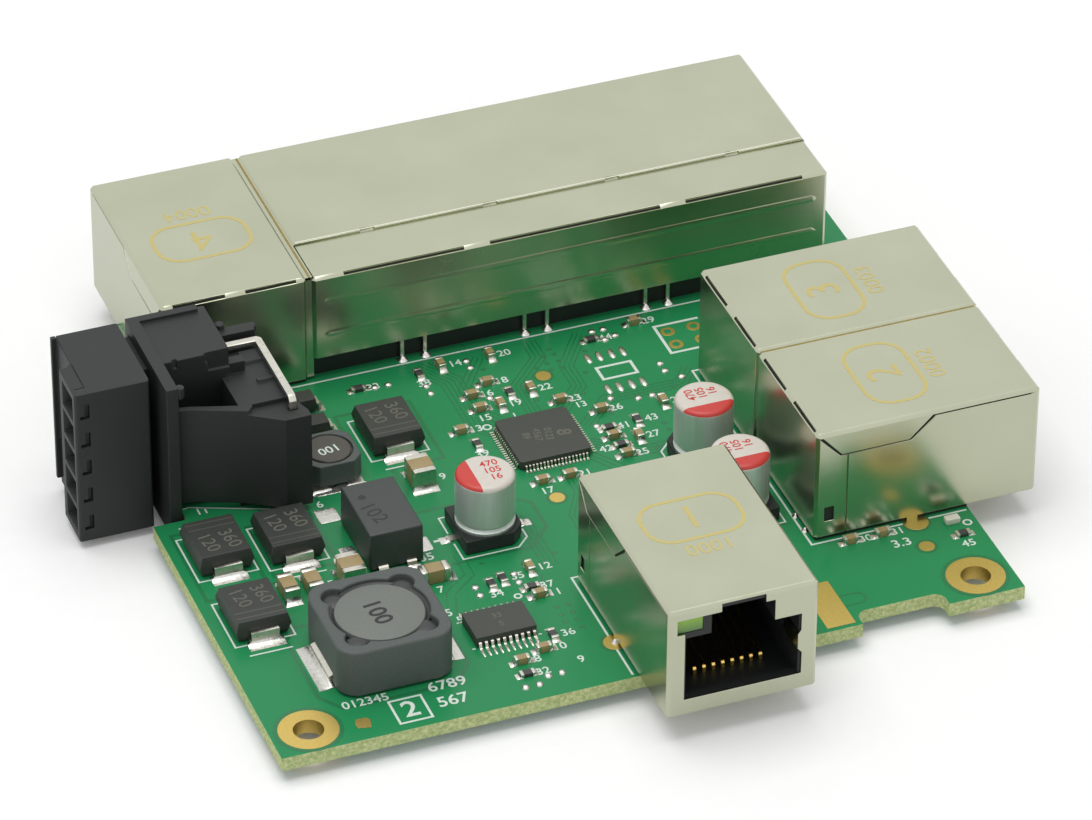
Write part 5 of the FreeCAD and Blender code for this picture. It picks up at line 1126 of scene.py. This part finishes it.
bm = bmesh.new()
for chip, text_turn, rows in CHIP_ROWS:
    eased_copy(chip + "_body", chip + "_moulding", 0.07, chip_epoxy)
    low, high = box_mm(chip + "_body")
    for text, out, height in rows:
        spot = (low + high) / 2 + turned(text_turn) @ Vector((0, out, 0))
        print_number(bm, text, spot.x, spot.y, height, text_turn, z=high.z + 0.004)
finish_piece("chip_marks", bm, [etched_epoxy])

# The leads are short gull wings, drawn once and stood round each body.
for chip, lead_size in (("switch_chip", (1, 1, 1)), ("regulator_chip", (1.3, 1.5, 1.05))):
    lead = bmesh.new()
    prism(lead, *([(x, y, z) for x, z in GULL_LEAD] for y in (-GULL_HALF, GULL_HALF)))
    bmesh.ops.recalc_face_normals(lead, faces=lead.faces)
    body_low, body_high = box_mm(chip + "_body")
    middle = (body_low + body_high) / 2
    places = []
    for low, high in islands(chip + "_leads"):
        spot = (low + high) / 2
        if high.x - low.x > high.y - low.y:
            x, y, way = (body_high.x, spot.y, 0) if spot.x > middle.x else (body_low.x, spot.y, 180)
        else:
            x, y, way = (spot.x, body_high.y, 90) if spot.y > middle.y else (spot.x, body_low.y, 270)
        places.append((x, y, 0, way, lead_size))
    repeat(chip + "_gull_leads", lead, places, tinned, (chip + "_leads",))

# ---------------------------------------------------------------------------------
# Chip capacitors and resistors: tan ceramic or black-glazed alumina blocks with
# tinned ends, each end held by a concave fillet of solder on its pad.
BLOCK_EASE = 0.07
END_EASE = 0.12
FILLET_CURVE = ((-0.6, 0.0), (-0.6, 0.02), (0.0, 0.62), (0.12, 0.36), (0.35, 0.17), (0.7, 0.07),
                (1.0, 0.03), (1.0, 0.0))
FILLET_ROWS = ((-0.56, 0.35), (-0.44, 0.9), (0.0, 1.0), (0.44, 0.9), (0.56, 0.35))     # across, height
FILLET_MAX = 1.1                # solder climbs no higher than this
LEAD_FILLETS = (     # leads, their bodies, run, height, whether leads may point along x
    ("diode_leads", ["diode_body_" + name for name, _ in DIODES], 1.0, 0.75, False),
    ("rectifier_leads", ["rectifier_bodies"], 0.6, 0.45, True),
    ("capacitor_leads", ["capacitor_base_left", "capacitor_base_back", "capacitor_base_front"], 0.8, 0.35,
     True),
    ("choke_leads", ["choke_body"], 0.8, 0.5, False),
    ("power_inductor_terminals", ["power_inductor_core"], 1.3, 0.8, True),
    ("small_inductor_terminals", ["small_inductor_core"], 0.6, 0.45, False),
)

# Tan and faintly mottled, with the low shine of fired ceramic.
tan_ceramic = grained("tan_barium_ceramic", "#97845A", "#AE9A6C", 0.4, (0.36, 0.44))

# Blue-black glassy glaze, greyer where it thins.
resistor_glaze = grained("black_glaze_on_alumina", "#2A2C2D", "#4A4A48", 0.25, (0.25, 0.35))

# Bright and rippled, frozen in soft pools.
solder = grained("reflowed_solder", "#B9B8B0", "#E6E5DF", 0.45, (0.16, 0.42), bump=0.6, metallic=1.0)


def eased_block(ease):
    """A unit block standing on z = 0 with its edges rounded by a share of its size."""
    bm = bmesh.new()
    bmesh.ops.create_cube(bm, size=1.0, matrix=Matrix.Translation((0, 0, 0.5)))
    bmesh.ops.bevel(bm, geom=bm.edges[:], offset=ease, segments=2, profile=0.6, affect="EDGES")
    return bm


def stand_blocks(name, node, material, ease):
    """Redraw each of a node's plain blocks with its own eased edges."""
    places = []
    for low, high in islands(node):
        middle = (low + high) / 2
        places.append((middle.x, middle.y, low.z, 0, tuple(high - low)))
    repeat(name, eased_block(ease), places, material, (node,))


stand_blocks("ceramic_blocks", "ceramic_capacitor_bodies", tan_ceramic, BLOCK_EASE)
stand_blocks("ceramic_block_ends", "ceramic_capacitor_ends", tinned, END_EASE)
stand_blocks("resistor_blocks", "chip_resistor_bodies", resistor_glaze, BLOCK_EASE)
stand_blocks("resistor_block_ends", "chip_resistor_ends", tinned, END_EASE)

# A fillet is drawn once, 1 mm wide along y, rising to 1 mm at x = 0 and running out
# to x = 1 in a hollow curve, then sized to each end.
fillet = bmesh.new()
rows = []
for y, share in FILLET_ROWS:
    rows.append([fillet.verts.new((x, y, z * share)) for x, z in FILLET_CURVE])
for a, b in zip(rows, rows[1:]):
    for i in range(len(FILLET_CURVE)):
        j = (i + 1) % len(FILLET_CURVE)
        fillet.faces.new((a[i], a[j], b[j], b[i]))
fillet.faces.new(rows[0][::-1])
fillet.faces.new(rows[-1])
bmesh.ops.recalc_face_normals(fillet, faces=fillet.faces)


def fillet_place(low, high, body_middle, along_x, run, spread, tall):
    """Place, turn and size of the fillet at a lead's outer end, away from its body."""
    middle = (low + high) / 2
    away = middle - body_middle
    if along_x:
        return (high.x if away.x > 0 else low.x, middle.y, 0, 0 if away.x > 0 else 180,
                (run, (high.y - low.y) * spread, tall))
    return (middle.x, high.y if away.y > 0 else low.y, 0, 90 if away.y > 0 else 270,
            (run, (high.x - low.x) * spread, tall))


fillets = []
for low, high in ends:
    middle = (low + high) / 2
    body = min(((a + b) / 2 for a, b in bodies), key=lambda centre: (centre - middle).length)
    along_x = abs(middle.x - body.x) > abs(middle.y - body.y)
    tall = high.z - low.z
    run = 0.32 + 0.3 * min(tall, 1.2)
    fillets.append(fillet_place(low, high, body, along_x, run, 1.02, min(tall, FILLET_MAX)))
for node, body_names, run, tall, may_turn in LEAD_FILLETS:
    centres = [(low + high) / 2 for name in body_names for low, high in islands(name)]
    for low, high in islands(node):
        middle = (low + high) / 2
        body = min(centres, key=lambda centre: (centre.xy - middle.xy).length)
        along_x = may_turn and abs(middle.x - body.x) > abs(middle.y - body.y)
        fillets.append(fillet_place(low, high, body, along_x, run, 1.15, tall))
repeat("solder_fillets", fillet, fillets, solder, smooth=60)

# ---------------------------------------------------------------------------------
# Spare pads and footprints: low domes of solder where no part is fitted, the eight
# pads of an unused chip, and the toes under the fitted chips' leads.
BARE_PADS = (
    (27.6, 19.4), (27.6, 18.0), (32.1, 20.2), (32.1, 18.7), (26.6, 2.2), (28.1, 2.2), (29.4, 3.2),
    (30.9, 3.2), (29.8, 56.1), (31.3, 56.1), (35.0, 54.4), (35.0, 53.0), (40.6, 57.3), (40.6, 56.0),
    (40.6, 50.0), (52.6, 45.5), (49.4, 41.3), (55.4, 44.5), (57.0, 44.5), (55.2, 57.7), (56.5, 57.7),
    (56.0, 55.8), (57.3, 56.2), (59.9, 49.6), (59.9, 48.2), (61.2, 46.6),
)
UNUSED_CHIP = ((53.0, 54.3, 55.7, 57.0), (47.2, 53.2))     # columns, rows
BARE_PAD = (0.85, 0.85, 0.26)
CHIP_PAD = (0.74, 1.9, 0.2)
TOE_PAD = (0.38, 1.5, 0.1)
DOME = ((0.5, 0.0), (0.47, 0.35), (0.36, 0.72), (0.2, 0.94), (0, 1.0))
WET_PADS = (     # centre, size
    (17.5, 36.3, 2.3, 2.4), (17.4, 29.4, 1.6, 2.2), (25.1, 28.2, 1.6, 2.4), (20.3, 40.35, 5.6, 1.3),
    (20.3, 47.4, 5.6, 1.0),
)
WET_FILM = 0.14
LONE_JOINTS = ((63.03, 19.35), (63.0, 16.7), (37.7, 6.0))
PIN_CONE = ((0.5, 0.0), (0.4, 0.2), (0.26, 0.52), (0.15, 0.85), (0.0, 1.0))

domes = [(x, y, 0.0, 0, BARE_PAD) for x, y in BARE_PADS]
domes += [(x, y, 0.0, 0, CHIP_PAD) for x in UNUSED_CHIP[0] for y in UNUSED_CHIP[1]]
front_edge = box_mm("regulator_chip_leads")[0].y
for low, high in islands("regulator_chip_leads"):
    y = low.y if abs(low.y - front_edge) < 0.05 else high.y
    domes.append(((low.x + high.x) / 2, y, 0.0, 0, TOE_PAD))
repeat("solder_domes", lathe(bmesh.new(), DOME, 12), domes, solder, smooth=60)

# Larger lands are tinned flat, with a rounded film of solder.
repeat("wetted_pads", eased_block(WET_FILM),
       [(x, y, -0.06, 0, (width, depth, WET_FILM)) for x, y, width, depth in WET_PADS], solder,
       smooth=60)

# Solder climbs the lamp pins and three lone legs in small cones.
joints = []
for low, high in islands("gang_jack_lamp_pins"):
    middle = (low + high) / 2
    joints.append((middle.x, middle.y - 0.25, 0.0, 0, (1.25, 1.25, 0.55)))
joints += [(x, y, 0.0, 0, (0.9, 0.9, 0.4)) for x, y in LONE_JOINTS]
repeat("wetted_joints", lathe(bmesh.new(), PIN_CONE, 16), joints, solder, smooth=60)

# ---------------------------------------------------------------------------------
# Underside: every jack pin ends in a cone of solder, drawn up over the cut tail.
TAIL_CONE = ((0.5, 0.0), (0.42, -0.12), (0.28, -0.4), (0.2, -0.75), (0.17, -0.93), (0.1, -1.0), (0, -1.0))
CONE_WIDTH = 1.3
places = []
for low, high in islands("jack_solder_tails"):
    middle = (low + high) / 2
    places.append((middle.x, middle.y, high.z, 0, (CONE_WIDTH, CONE_WIDTH, high.z - low.z)))
cone = lathe(bmesh.new(), TAIL_CONE, 14)
bmesh.ops.recalc_face_normals(cone, faces=cone.faces)
repeat("underside_solder_cones", cone, places, solder, ("jack_solder_tails",), smooth=60)

# ---------------------------------------------------------------------------------
# Indicator lamp: a clear-capped chip lamp beside its resistor.
# Milky clear cap with a wet shine.
clear_cap = grained("clear_epoxy_lamp", "#CFCDBB", "#E8E6DA", 0.5, (0.12, 0.18))
eased_copy("indicator_lamp", "indicator_lamp_cap", 0.12, clear_cap, segments=3)
